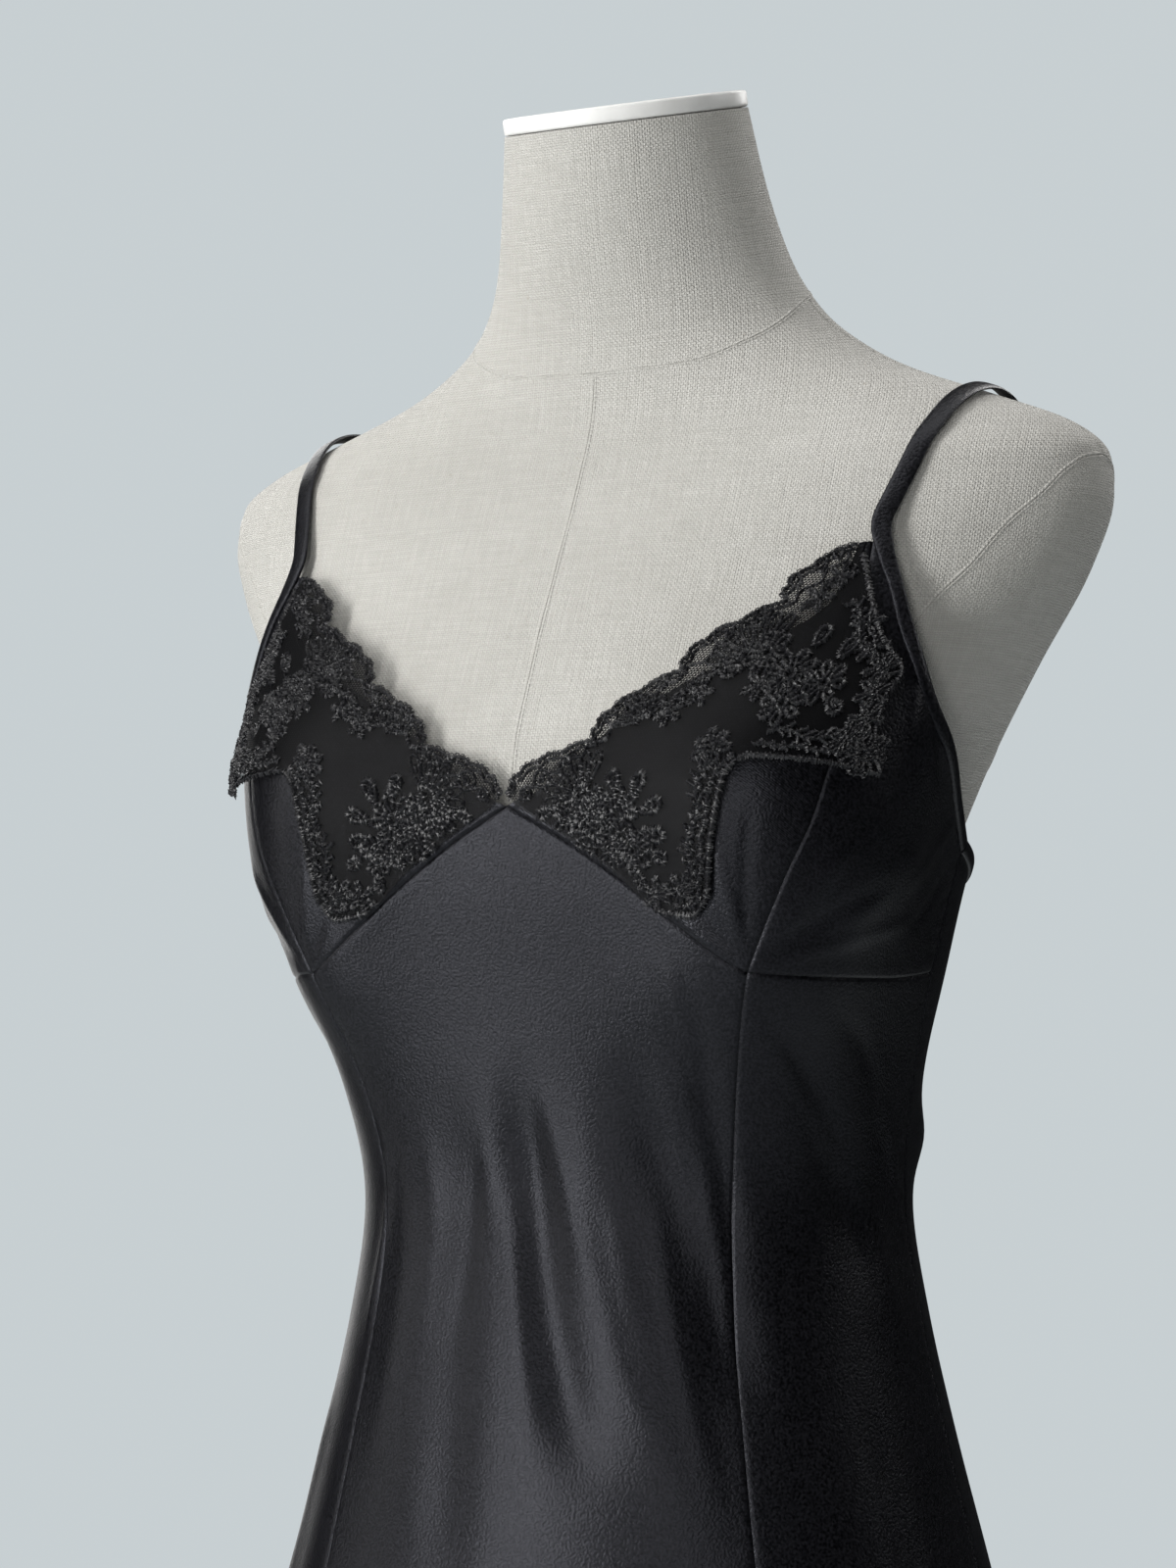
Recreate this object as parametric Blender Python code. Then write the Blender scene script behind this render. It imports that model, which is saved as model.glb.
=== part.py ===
"""A black satin slip dress with lace cups, on a linen-covered dress form with a pole and a round base.

Metres, +Z up, the floor at Z = 0. The front faces -Y and the wearer's left side is at +X.
The body and the dress are stacks of oval rings. A place on a ring is its angle: 0 is the centre front,
+90 the left side, -90 the right side and 180 the centre back. A panel is cut as four edges, each a list
of (angle, height) places, filled in between and given the thickness of the cloth.
"""

import math

import bpy
import numpy as np
from mathutils import Vector
from mathutils.bvhtree import BVHTree

# ---------------------------------------------------------------- driving sizes

HEM = 0.560  # height of the dress's hem above the floor
BUST_POINT = 0.115  # each bust is fullest this far to its side of the centre
BUST_SPREAD = 0.048
SIDE_ANGLE = 64  # where the cups stand off the body at the side, in degrees
SIDE_SPREAD = 15
CLOTH = 0.0012  # thickness of a satin panel
LACE = 0.0010
SEAM_GAP = 0.0003  # left open between two pieces that meet
LAID_ON = 0.0006  # left between a panel and the binding that lies on it
LACE_CLEAR = 0.0012  # left between the cups and the lace, which stands a little off them
BINDING_WIDTH = 0.006
BINDING = 0.0014
STRAP_WIDTH = 0.0085
STRAP = 0.0016
STRAP_LIFT = 0.0022  # between the body and the strap that lies on it
STRAP_CREST = 0.155  # how far from the centre a strap crosses the top of the shoulder
STRAP_HUB = (0.015, 1.200)  # the point inside the shoulder that it passes round, along Y and Z
STRAP_BACK_ANGLE = 142  # where it meets the top edge of the back
STRAP_RISE = 0.0020  # between the edge of the cloth and the end of a strap
LACE_FLARE = {"left": 0.001, "right": 0.004}  # how much further off the loose corner of the lace stands
FLARE_REACH = 0.045

BASE_RADIUS = 0.190
BASE_THICKNESS = 0.010
BASE_BEVEL = 0.002
POLE_RADIUS = 0.015
COLLAR_RADIUS = 0.028
COLLAR_HEIGHT = 0.045
NECK_CAP_THICKNESS = 0.0075
NECK_CAP_BEVEL = 0.0015
SHOULDER_LOW = 1.290  # the body is divided more finely from here up to the neck
NECK_FOOT = 1.402

# How finely each piece is divided.
BODY_COLUMNS = 44
TRUNK_RINGS = 15
SHOULDER_RINGS = 12
NECK_RINGS = 6
ROUND_SEGMENTS = 40
SKIRT_ROWS = 22
UNDERARM_ROWS = 5
SIDE_COLUMNS = 6
BACK_COLUMNS = 9
CUP_COLUMNS = 9
CUP_ROWS = 12
ARMHOLE_COLUMNS = 9
LACE_ALONG = 28
LACE_ACROSS = 6
BINDING_SEGMENTS = 16
STRAP_SEGMENTS = 30
STRAP_PROBES = 120  # where the route of a strap is measured on the body
STRAP_SMOOTHING = 4  # passes that even out the way a strap faces
SHARP_EDGE = 40  # degrees between two faces that meet in a visible edge

# One row for each ring of the body: its height, half its width, how far its front and back lie from its
# middle, where that middle is along Y, how far the bust stands out, how square it is at the front and at
# the back, and its tilt forwards in degrees.
FORM_COLUMNS = (
    "height", "half_width", "front", "back", "middle", "bust", "front_square", "back_square", "tilt"
)
FORM_SECTIONS = (
    (0.745, 0.136, 0.092, 0.100, 0.004, 0.000, 2.15, 2.15, 0),
    (0.757, 0.146, 0.102, 0.111, 0.004, 0.000, 2.15, 2.15, 0),
    (0.800, 0.151, 0.107, 0.119, 0.004, 0.000, 2.15, 2.15, 0),
    (0.840, 0.149, 0.107, 0.119, 0.004, 0.000, 2.15, 2.15, 0),
    (0.900, 0.137, 0.101, 0.107, 0.002, 0.000, 2.15, 2.15, 0),
    (0.960, 0.121, 0.092, 0.089, 0.000, 0.000, 2.15, 2.15, 0),
    (1.030, 0.112, 0.084, 0.076, 0.000, 0.000, 2.20, 2.20, 0),
    (1.080, 0.117, 0.087, 0.081, 0.000, 0.006, 2.35, 2.25, 0),
    (1.121, 0.126, 0.096, 0.089, 0.000, 0.016, 2.60, 2.30, 0),
    (1.165, 0.134, 0.107, 0.096, 0.001, 0.016, 2.70, 2.40, 0),
    (1.200, 0.147, 0.112, 0.102, 0.002, 0.010, 2.80, 2.45, 0),
    (1.250, 0.174, 0.098, 0.104, 0.006, 0.002, 2.25, 2.45, 0),
    (1.290, 0.198, 0.083, 0.096, 0.011, 0.000, 2.10, 2.45, 0),
    (1.318, 0.207, 0.074, 0.084, 0.016, 0.000, 2.20, 2.40, 1),
    (1.334, 0.206, 0.069, 0.078, 0.018, 0.000, 2.20, 2.30, 2),
    (1.347, 0.193, 0.065, 0.073, 0.019, 0.000, 2.00, 2.20, 4),
    (1.360, 0.161, 0.060, 0.068, 0.018, 0.000, 2.00, 2.10, 6),
    (1.380, 0.110, 0.055, 0.062, 0.015, 0.000, 2.00, 2.00, 9),
    (1.402, 0.080, 0.051, 0.058, 0.011, 0.000, 2.00, 2.00, 12),
    (1.425, 0.0668, 0.050, 0.055, 0.005, 0.000, 2.00, 2.00, 14),
    (1.455, 0.0592, 0.050, 0.052, -0.003, 0.000, 2.00, 2.00, 15),
    (1.488, 0.0538, 0.049, 0.050, -0.010, 0.000, 2.00, 2.00, 15),
)

# The same for the dress, which hangs from the bust and the shoulders and stands clear of the body. Its last
# column is how far the cups stand off at the side.
DRESS_COLUMNS = (
    "height", "half_width", "front", "back", "middle", "bust", "front_square", "back_square", "side"
)
DRESS_SECTIONS = (
    (0.560, 0.224, 0.172, 0.176, 0.000, 0.000, 2.00, 2.00, 0.000),
    (0.700, 0.190, 0.145, 0.151, 0.000, 0.000, 2.05, 2.05, 0.000),
    (0.800, 0.168, 0.127, 0.135, 0.001, 0.000, 2.10, 2.10, 0.000),
    (0.866, 0.153, 0.117, 0.123, 0.001, 0.000, 2.15, 2.15, 0.000),
    (0.930, 0.137, 0.107, 0.108, 0.000, 0.000, 2.15, 2.15, 0.000),
    (0.980, 0.126, 0.099, 0.097, 0.000, 0.000, 2.15, 2.15, 0.000),
    (1.030, 0.119, 0.092, 0.088, 0.000, 0.003, 2.20, 2.20, 0.000),
    (1.080, 0.124, 0.097, 0.089, 0.000, 0.013, 2.40, 2.25, 0.000),
    (1.121, 0.133, 0.104, 0.094, 0.000, 0.023, 2.70, 2.30, 0.002),
    (1.165, 0.142, 0.114, 0.101, 0.001, 0.022, 2.80, 2.40, 0.012),
    (1.200, 0.154, 0.118, 0.107, 0.002, 0.016, 3.00, 2.45, 0.008),
    (1.250, 0.180, 0.104, 0.109, 0.006, 0.005, 2.40, 2.45, 0.002),
    (1.290, 0.204, 0.089, 0.101, 0.011, 0.000, 2.12, 2.45, 0.000),
    (1.330, 0.211, 0.075, 0.086, 0.017, 0.000, 2.05, 2.35, 0.000),
)

# The folds of the dress, a row for each: the places where it starts and ends, in degrees and metres, how
# far it bows to one side between them, how wide it is, and how deep, with troughs below zero.
FOLD_SCALE = 0.0025  # metres of cloth for each degree, on which the folds are measured
FOLD_COLUMNS = ("angle_a", "height_a", "angle_b", "height_b", "bow", "width", "depth")
FOLDS = (
    (-4, 1.095, 16, 0.905, -0.008, 0.013, -0.0045),
    (9, 1.085, 33, 0.890, -0.006, 0.013, 0.0020),
    (25, 1.100, 37, 0.975, 0.002, 0.010, 0.0014),
    (17, 1.095, 43, 0.930, 0.009, 0.014, -0.0036),
    (30, 1.122, 42, 0.990, 0.004, 0.008, -0.0018),
    (-19, 1.090, -11, 0.840, 0.000, 0.014, -0.0020),
    (-33, 1.085, -30, 0.900, 0.002, 0.012, 0.0014),
    (50, 1.116, 74, 0.985, 0.004, 0.012, -0.0022),
    (66, 1.100, 84, 0.960, 0.002, 0.012, 0.0015),
    (-55, 1.112, -72, 0.980, -0.004, 0.012, -0.0020),
    (58, 1.130, 76, 1.178, 0.000, 0.010, 0.0018),
    (-57, 1.132, -78, 1.172, 0.000, 0.010, 0.0016),
    (98, 1.050, 176, 1.048, 0.003, 0.015, 0.0050),
    (132, 1.092, 174, 1.082, 0.003, 0.010, 0.0032),
    (128, 1.012, 170, 1.004, -0.003, 0.010, 0.0028),
    (262, 1.054, 188, 1.046, 0.003, 0.014, 0.0046),
    (230, 1.094, 190, 1.084, 0.002, 0.010, 0.0030),
    (234, 1.010, 192, 1.002, -0.002, 0.011, 0.0026),
    (148, 1.010, 139, 0.780, 0.004, 0.016, -0.0030),
    (176, 1.020, 184, 0.800, 0.004, 0.016, 0.0030),
    (214, 1.015, 222, 0.760, -0.004, 0.017, -0.0032),
    (-18, 0.900, -22, 0.380, 0.000, 0.030, 0.0085),
    (9, 0.860, 7, 0.380, 0.000, 0.024, -0.0070),
    (31, 0.890, 36, 0.380, 0.000, 0.032, 0.0100),
    (58, 0.850, 60, 0.380, 0.000, 0.026, -0.0080),
    (84, 0.900, 86, 0.380, 0.000, 0.030, 0.0090),
    (109, 0.830, 113, 0.380, 0.000, 0.024, -0.0070),
    (134, 0.900, 137, 0.380, 0.000, 0.032, 0.0100),
    (162, 0.860, 160, 0.380, 0.000, 0.028, -0.0075),
    (188, 0.890, 186, 0.380, 0.000, 0.028, 0.0090),
    (213, 0.840, 214, 0.380, 0.000, 0.026, -0.0085),
    (240, 0.900, 243, 0.380, 0.000, 0.034, 0.0105),
    (268, 0.850, 270, 0.380, 0.000, 0.026, -0.0075),
    (-66, 0.900, -68, 0.380, 0.000, 0.030, 0.0085),
    (-43, 0.850, -45, 0.380, 0.000, 0.024, -0.0070),
)
FOLD_FADE = 0.3  # the share of a fold's length over which it rises and dies away

# The seams and edges on the wearer's left, as (angle, height) places. The right side mirrors them.
NECK_POINT = (0, 1.1875)
CUP_FOOT = (43.5, 1.1205)
SIDE_UNDERBUST = (94, 1.1210)
ARMPIT = (97, 1.1750)
STRAP_INNER = (38.8, 1.2920)
STRAP_MIDDLE = (40.5, 1.2930)
STRAP_OUTER = (42.2, 1.2922)
UNDER_CUP = (NECK_POINT, (10, 1.1735), (20, 1.1570), (30, 1.1390), (38, 1.1265), CUP_FOOT)
UNDERBUST = (CUP_FOOT, (57, 1.1190), (74, 1.1185), SIDE_UNDERBUST)
CUP_SEAM = (
    CUP_FOOT, (45.5, 1.1350), (48, 1.1560), (50, 1.1820), (49.5, 1.2010),
    (46.5, 1.2220), (43.8, 1.2420), (42, 1.2700), STRAP_MIDDLE,
)
SATIN_NECK = (
    NECK_POINT, (7.5, 1.1960), (15.5, 1.2160), (24.5, 1.2350), (33, 1.2510), (38.6, 1.2680), STRAP_INNER,
)
ARMHOLE = (STRAP_OUTER, (45.5, 1.2800), (52, 1.2570), (63, 1.2260), (79, 1.2000), ARMPIT)
PRINCESS = ((40, HEM), (40, 0.890), (40.3, 0.990), (41.3, 1.060), (42.5, 1.099), CUP_FOOT)
SIDE_SEAM = ((92, HEM), (94, 0.800), (97, 1.020), (96.5, 1.050), (95.5, 1.080), SIDE_UNDERBUST)
BACK_EDGE = (ARMPIT, (120, 1.1630), (150, 1.1520), (180, 1.1490))

# The lace on a cup: its scalloped upper edge, and its cut lower edge from the neck point round to the strap.
LACE_TOP = (
    (1.2, 1.1905), (6, 1.1985), (10, 1.2045), (15, 1.2140), (20, 1.2280),
    (24, 1.2400), (29, 1.2540), (33, 1.2670), (38.8, 1.2910),
)
LACE_LOW = (
    (2.2, 1.1875), (8, 1.1790), (18, 1.1630), (28, 1.1450), (33, 1.1430), (36, 1.1530), (35.6, 1.1750),
    (35.4, 1.1970), (38, 1.2045), (46, 1.2030), (57, 1.1980), (53.5, 1.2150), (52.8, 1.2285), (53.8, 1.2370),
    (48.4, 1.2520), (42.8, 1.2730), (40.0, 1.2865),
)
LACE_CORNER = (57, 1.1980)
SCALLOP_ENDS = (0, 0.28, 0.54, 0.80, 1)  # shares of the upper edge where one scallop meets the next
SCALLOP_DEPTH = 0.0055
SCALLOP_SKEW = 0.6  # below 1, a scallop rises faster than it falls

# ---------------------------------------------------------------- the rings


def monotone(xs, ys, at):
    """A smooth curve through the points (xs, ys) that never swings past them, read at the values in at."""
    xs, ys = np.asarray(xs, float), np.asarray(ys, float)
    at = np.clip(np.asarray(at, float), xs[0], xs[-1])
    step = np.diff(xs)
    slope = np.diff(ys) / step
    product = slope[1:] * slope[:-1]
    total = slope[1:] + slope[:-1]
    inner = np.where(product > 0, 2 * product / np.where(product > 0, total, 1), 0)
    tangent = np.concatenate([[slope[0]], inner, [slope[-1]]])
    i = np.clip(np.searchsorted(xs, at, side="right") - 1, 0, len(step) - 1)
    f = (at - xs[i]) / step[i]
    start = (1 + 2 * f) * (1 - f) ** 2 * ys[i] + f * (1 - f) ** 2 * step[i] * tangent[i]
    end = f**2 * (3 - 2 * f) * ys[i + 1] + f**2 * (f - 1) * step[i] * tangent[i + 1]
    return start + end


def soft_step(f):
    """0 below 0, 1 above 1, and smooth between them."""
    f = np.clip(f, 0, 1)
    return f * f * (3 - 2 * f)


def column(table, columns, name, height):
    """One named column of a table of sections, read smoothly at any height."""
    rows = np.array(table, float)
    return monotone(rows[:, 0], rows[:, columns.index(name)], height)


def ring_point(table, columns, angle, height):
    """Points (x, y) on the rings of a table, at angles in degrees from the centre front, and at heights."""
    turn = np.radians(angle)
    side, ahead = np.sin(turn), np.cos(turn)
    half_width, front, back, middle, bust, front_square, back_square = (
        column(table, columns, name, height) for name in columns[1:8]
    )
    square = back_square + (front_square - back_square) * soft_step(0.5 + 0.75 * ahead)
    corner = (np.abs(side) ** square + np.abs(ahead) ** square) ** (-1 / square)
    x = half_width * side * corner
    depth = (front + back) / 2 + (front - back) / 2 * ahead
    y = middle - depth * ahead * corner
    swell = np.exp(-(((np.abs(x) - BUST_POINT) / BUST_SPREAD) ** 2)) * soft_step(2 * ahead)
    return x, y - bust * swell


def form_point(angle, height):
    """A point of the body, on a ring tilted forwards about its own middle."""
    x, y = ring_point(FORM_SECTIONS, FORM_COLUMNS, angle, height)
    middle = column(FORM_SECTIONS, FORM_COLUMNS, "middle", height)
    tilt = np.radians(column(FORM_SECTIONS, FORM_COLUMNS, "tilt", height))
    reach = y - middle
    return np.stack([x, middle + reach * np.cos(tilt), height + reach * np.sin(tilt)], -1)


def fold_depth(angle, height):
    """How far all the folds together push the cloth out at a place."""
    pushed = np.zeros(np.broadcast(angle, height).shape)
    for row in FOLDS:
        fold = dict(zip(FOLD_COLUMNS, row))
        middle = (fold["angle_a"] + fold["angle_b"]) / 2
        near = middle + (angle - middle + 180) % 360 - 180
        run = FOLD_SCALE * (fold["angle_b"] - fold["angle_a"])
        rise = fold["height_b"] - fold["height_a"]
        length = math.hypot(run, rise)
        over = FOLD_SCALE * (near - fold["angle_a"])
        up = height - fold["height_a"]
        along = (over * run + up * rise) / length**2
        across = (up * run - over * rise) / length
        across = across - fold["bow"] * 4 * along * (1 - along)
        fade = soft_step(along / FOLD_FADE) * soft_step((1 - along) / FOLD_FADE)
        pushed = pushed + fold["depth"] * fade * np.exp(-((across / fold["width"]) ** 2))
    return pushed


def dress_point(angle, height):
    """A point of the dress's outer face: its ring, the stand-off of the cups at the side, and the folds."""
    angle, height = np.broadcast_arrays(np.asarray(angle, float), np.asarray(height, float))
    x, y = ring_point(DRESS_SECTIONS, DRESS_COLUMNS, angle, height)
    turn = (angle + 180) % 360 - 180
    side = column(DRESS_SECTIONS, DRESS_COLUMNS, "side", height)
    out = side * np.exp(-(((np.abs(turn) - SIDE_ANGLE) / SIDE_SPREAD) ** 2)) + fold_depth(angle, height)
    return np.stack([x + out * np.sin(np.radians(angle)), y - out * np.cos(np.radians(angle)), height], -1)


def slopes(angle, height):
    """How a point of the dress moves for one degree round it and for one metre up it."""
    d_angle, d_height = 0.05, 0.0002
    around = dress_point(angle + d_angle, height) - dress_point(angle - d_angle, height)
    upwards = dress_point(angle, height + d_height) - dress_point(angle, height - d_height)
    return around / (2 * d_angle), upwards / (2 * d_height)


def normals(angle, height):
    around, upwards = slopes(angle, height)
    normal = np.cross(around, upwards)
    return normal / np.linalg.norm(normal, axis=-1, keepdims=True)


# ---------------------------------------------------------------- edges and grids of places


def through(places, count):
    """count + 1 places, evenly spaced along a smooth curve through a short list of them."""
    places = np.array(places, float)
    steps = np.diff(places, axis=0) * (FOLD_SCALE, 1)
    length = np.concatenate([[0], np.cumsum(np.hypot(steps[:, 0], steps[:, 1]))])
    at = np.linspace(0, length[-1], count + 1)
    return np.stack([monotone(length, places[:, 0], at), monotone(length, places[:, 1], at)], -1)


def straight(a, b, count):
    f = np.linspace(0, 1, count + 1)[:, None]
    return np.array(a) * (1 - f) + np.array(b) * f


def mirrored(edge):
    """The same edge on the other side, run the other way."""
    return edge[::-1] * (-1, 1)


def patch(bottom, top, left, right):
    """A grid of places filled in between four edges. Each runs left to right or bottom to top."""
    u = np.linspace(0, 1, len(bottom))[None, :, None]
    v = np.linspace(0, 1, len(left))[:, None, None]
    between = (1 - v) * bottom[None] + v * top[None] + (1 - u) * left[:, None] + u * right[:, None]
    corners = (1 - u) * (1 - v) * bottom[0] + u * (1 - v) * bottom[-1]
    return between - corners - (1 - u) * v * top[0] - u * v * top[-1]


def strip(near, far, count):
    """A grid of places ruled between two edges that run the same way."""
    f = np.linspace(0, 1, count + 1)[:, None, None]
    return near[None] * (1 - f) + far[None] * f


def beside(edge, distance):
    """An edge moved sideways over the dress, to the left of the way it runs, by metres."""
    around, upwards = slopes(edge[:, 0], edge[:, 1])
    metres = np.stack([edge[:, 0] * np.linalg.norm(around, axis=-1).mean(), edge[:, 1]], -1)
    way = np.gradient(metres, axis=0)
    way = way / np.linalg.norm(way, axis=-1, keepdims=True)
    moved = distance * np.stack([-way[:, 1] / np.linalg.norm(around, axis=-1), way[:, 0]], -1)
    return edge + moved


def drawn_in(grid, gap):
    """The grid with each of its four edges moved in by a gap in metres, towards the next line of places."""
    grid = grid.copy()
    for axis in (0, 1):
        lines = grid if axis == 0 else grid.transpose(1, 0, 2)
        for edge, inner in ((0, 1), (-1, -2)):
            here, there = (dress_point(lines[k, :, 0], lines[k, :, 1]) for k in (edge, inner))
            way = np.gradient(here, axis=0)
            way = way / np.linalg.norm(way, axis=-1, keepdims=True)
            step = there - here
            off = step - (step * way).sum(-1, keepdims=True) * way
            share = gap / np.linalg.norm(off, axis=-1, keepdims=True)
            lines[edge] = lines[edge] * (1 - share) + lines[inner] * share
    return grid


# ---------------------------------------------------------------- making objects


def plain_material(name, colour, roughness, metallic=0.0):
    material = bpy.data.materials.new(name)
    material.use_nodes = True
    shader = material.node_tree.nodes["Principled BSDF"]
    shader.inputs["Base Color"].default_value = (*colour, 1)
    shader.inputs["Roughness"].default_value = roughness
    shader.inputs["Metallic"].default_value = metallic
    return material


def new_object(name, points, faces, material):
    mesh = bpy.data.meshes.new(name)
    mesh.from_pydata([tuple(point) for point in points], [], faces)
    mesh.update()
    mesh.shade_smooth()
    mesh.set_sharp_from_angle(angle=math.radians(SHARP_EDGE))
    mesh.materials.append(material)
    made = bpy.data.objects.new(name, mesh)
    bpy.context.scene.collection.objects.link(made)
    return made


def slab(name, outer, inner, material):
    """A closed wall between two grids of points, its outer face first, with a rim round all four edges."""
    rows, columns = outer.shape[:2]
    points = np.concatenate([outer.reshape(-1, 3), inner.reshape(-1, 3)])
    back = rows * columns
    faces = []
    for i in range(rows - 1):
        for j in range(columns - 1):
            a, b = i * columns + j, i * columns + j + 1
            c, d = b + columns, a + columns
            faces.append((a, b, c, d))
            faces.append((back + d, back + c, back + b, back + a))
    rim = [(0, j) for j in range(columns)] + [(i, columns - 1) for i in range(1, rows)]
    rim += [(rows - 1, j) for j in range(columns - 2, -1, -1)] + [(i, 0) for i in range(rows - 2, 0, -1)]
    rim = [i * columns + j for i, j in rim]
    for a, b in zip(rim, rim[1:] + rim[:1]):
        faces.append((back + a, back + b, b, a))
    return new_object(name, points, faces, material)


def wall(name, grid, thickness, material, lift=0.0):
    """A piece of cloth on a grid of places. Its outer face is lifted off the dress's own outer face."""
    grid = drawn_in(grid, SEAM_GAP / 2)
    angle, height = grid[..., 0], grid[..., 1]
    normal = normals(angle, height)
    outer = dress_point(angle, height) + normal * np.asarray(lift)[..., None]
    return slab(name, outer, outer - normal * thickness, material)


def both_sides(name, grid, thickness, material, lift=0.0):
    """The wall on the wearer's left and its mirror image on the right, both with columns left to right."""
    wall(name + "_left", grid, thickness, material, lift)
    wall(name + "_right", grid[:, ::-1] * (-1, 1), thickness, material, lift)


def turned(name, profile, material):
    """A round solid about Z from a closed profile of (radius, height) points, run anticlockwise."""
    turns = [2 * math.pi * k / ROUND_SEGMENTS for k in range(ROUND_SEGMENTS)]
    points, rings = [], []
    for radius, height in profile:
        if radius == 0:
            rings.append([len(points)] * ROUND_SEGMENTS)
            points.append((0, 0, height))
        else:
            rings.append(list(range(len(points), len(points) + ROUND_SEGMENTS)))
            points += [(radius * math.cos(turn), radius * math.sin(turn), height) for turn in turns]
    faces = []
    for near, far in zip(rings, rings[1:] + rings[:1]):
        if near[0] == near[1] and far[0] == far[1]:
            continue
        for k in range(ROUND_SEGMENTS):
            n = (k + 1) % ROUND_SEGMENTS
            faces.append(tuple(dict.fromkeys((near[k], near[n], far[n], far[k]))))
    return new_object(name, points, faces, material)


# ---------------------------------------------------------------- the dress form and its stand


def form_rings():
    """Heights of the body's rings: even on the trunk, closer over the shoulders and the neck."""
    trunk = np.linspace(FORM_SECTIONS[1][0], SHOULDER_LOW, TRUNK_RINGS)
    shoulder = np.linspace(SHOULDER_LOW, NECK_FOOT, SHOULDER_RINGS)[1:]
    neck = np.linspace(NECK_FOOT, FORM_SECTIONS[-1][0], NECK_RINGS)[1:]
    return np.concatenate([[FORM_SECTIONS[0][0]], trunk, shoulder, neck])


def form_body(material):
    """The body as one solid, closed flat at the bottom and across the top of the neck."""
    heights = form_rings()
    turns = np.arange(BODY_COLUMNS) * 360 / BODY_COLUMNS
    grid = form_point(turns[None, :] + 0 * heights[:, None], heights[:, None] + 0 * turns[None, :])
    count = BODY_COLUMNS
    faces = [
        (i * count + j, i * count + (j + 1) % count, (i + 1) * count + (j + 1) % count, (i + 1) * count + j)
        for i in range(len(heights) - 1)
        for j in range(count)
    ]
    last = (len(heights) - 1) * count
    faces.append(tuple(range(count - 1, -1, -1)))
    faces.append(tuple(range(last, last + count)))
    return new_object("form_body", grid.reshape(-1, 3), faces, material)


def form_neck_cap(material):
    """A thin plate on the tilted top of the neck, with its upper edge bevelled."""
    top = FORM_SECTIONS[-1][0]
    turns = np.arange(BODY_COLUMNS) * 360 / BODY_COLUMNS
    ring = form_point(turns, top + 0 * turns)
    tilt = math.radians(FORM_SECTIONS[-1][FORM_COLUMNS.index("tilt")])
    up = np.array([0, -math.sin(tilt), math.cos(tilt)])
    centre = ring.mean(0)
    radius = np.linalg.norm(ring - centre, axis=1).mean()
    narrow = centre + (ring - centre) * (1 - NECK_CAP_BEVEL / radius)
    rings = [
        ring + up * SEAM_GAP,
        ring + up * (SEAM_GAP + NECK_CAP_THICKNESS - NECK_CAP_BEVEL),
        narrow + up * (SEAM_GAP + NECK_CAP_THICKNESS),
    ]
    count = BODY_COLUMNS
    faces = [
        (i * count + j, i * count + (j + 1) % count, (i + 1) * count + (j + 1) % count, (i + 1) * count + j)
        for i in range(2)
        for j in range(count)
    ]
    faces.append(tuple(range(count - 1, -1, -1)))
    faces.append(tuple(range(2 * count, 3 * count)))
    return new_object("form_neck_cap", np.concatenate(rings), faces, material)


def stand(material):
    """A round base, a collar on it and a pole up to the body."""
    top, bevel = BASE_THICKNESS, BASE_BEVEL
    base = ((0, 0), (BASE_RADIUS, 0), (BASE_RADIUS, top - bevel), (BASE_RADIUS - bevel, top), (0, top))
    turned("stand_base", base, material)
    foot, hole = top + SEAM_GAP, POLE_RADIUS + SEAM_GAP
    collar = (
        (hole, foot), (COLLAR_RADIUS, foot), (COLLAR_RADIUS, foot + COLLAR_HEIGHT - bevel),
        (COLLAR_RADIUS - bevel, foot + COLLAR_HEIGHT), (hole, foot + COLLAR_HEIGHT),
    )
    turned("stand_collar", collar, material)
    head = FORM_SECTIONS[0][0] - SEAM_GAP
    turned("stand_pole", ((0, foot), (POLE_RADIUS, foot), (POLE_RADIUS, head), (0, head)), material)


# ---------------------------------------------------------------- the dress


def panels(material):
    """The front, the two sides of the front and the two halves of the back. The back runs up to the armpits.

    Returns the top edge of the whole back.
    """
    princess = through(PRINCESS, SKIRT_ROWS)
    side = through(SIDE_SEAM, SKIRT_ROWS)
    under_cup = through(UNDER_CUP, CUP_COLUMNS)
    front_top = np.concatenate([mirrored(under_cup), under_cup[1:]])
    front_hem = straight((-PRINCESS[0][0], HEM), PRINCESS[0], 2 * CUP_COLUMNS)
    wall("front_centre", patch(front_hem, front_top, princess * (-1, 1), princess), CLOTH, material)

    side_hem = straight(PRINCESS[0], SIDE_SEAM[0], SIDE_COLUMNS)
    underbust = through(UNDERBUST, SIDE_COLUMNS)
    both_sides("front_side", patch(side_hem, underbust, princess, side), CLOTH, material)

    back_side = np.concatenate([side, straight(SIDE_UNDERBUST, ARMPIT, UNDERARM_ROWS)[1:]])
    back_edge = through(BACK_EDGE, BACK_COLUMNS)
    back_hem = straight(SIDE_SEAM[0], (180, HEM), BACK_COLUMNS)
    centre_back = straight((180, HEM), BACK_EDGE[-1], len(back_side) - 1)
    both_sides("back", patch(back_hem, back_edge, back_side, centre_back), CLOTH, material)
    return np.concatenate([back_edge, ((360, 0) + mirrored(back_edge))[1:]])


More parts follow.
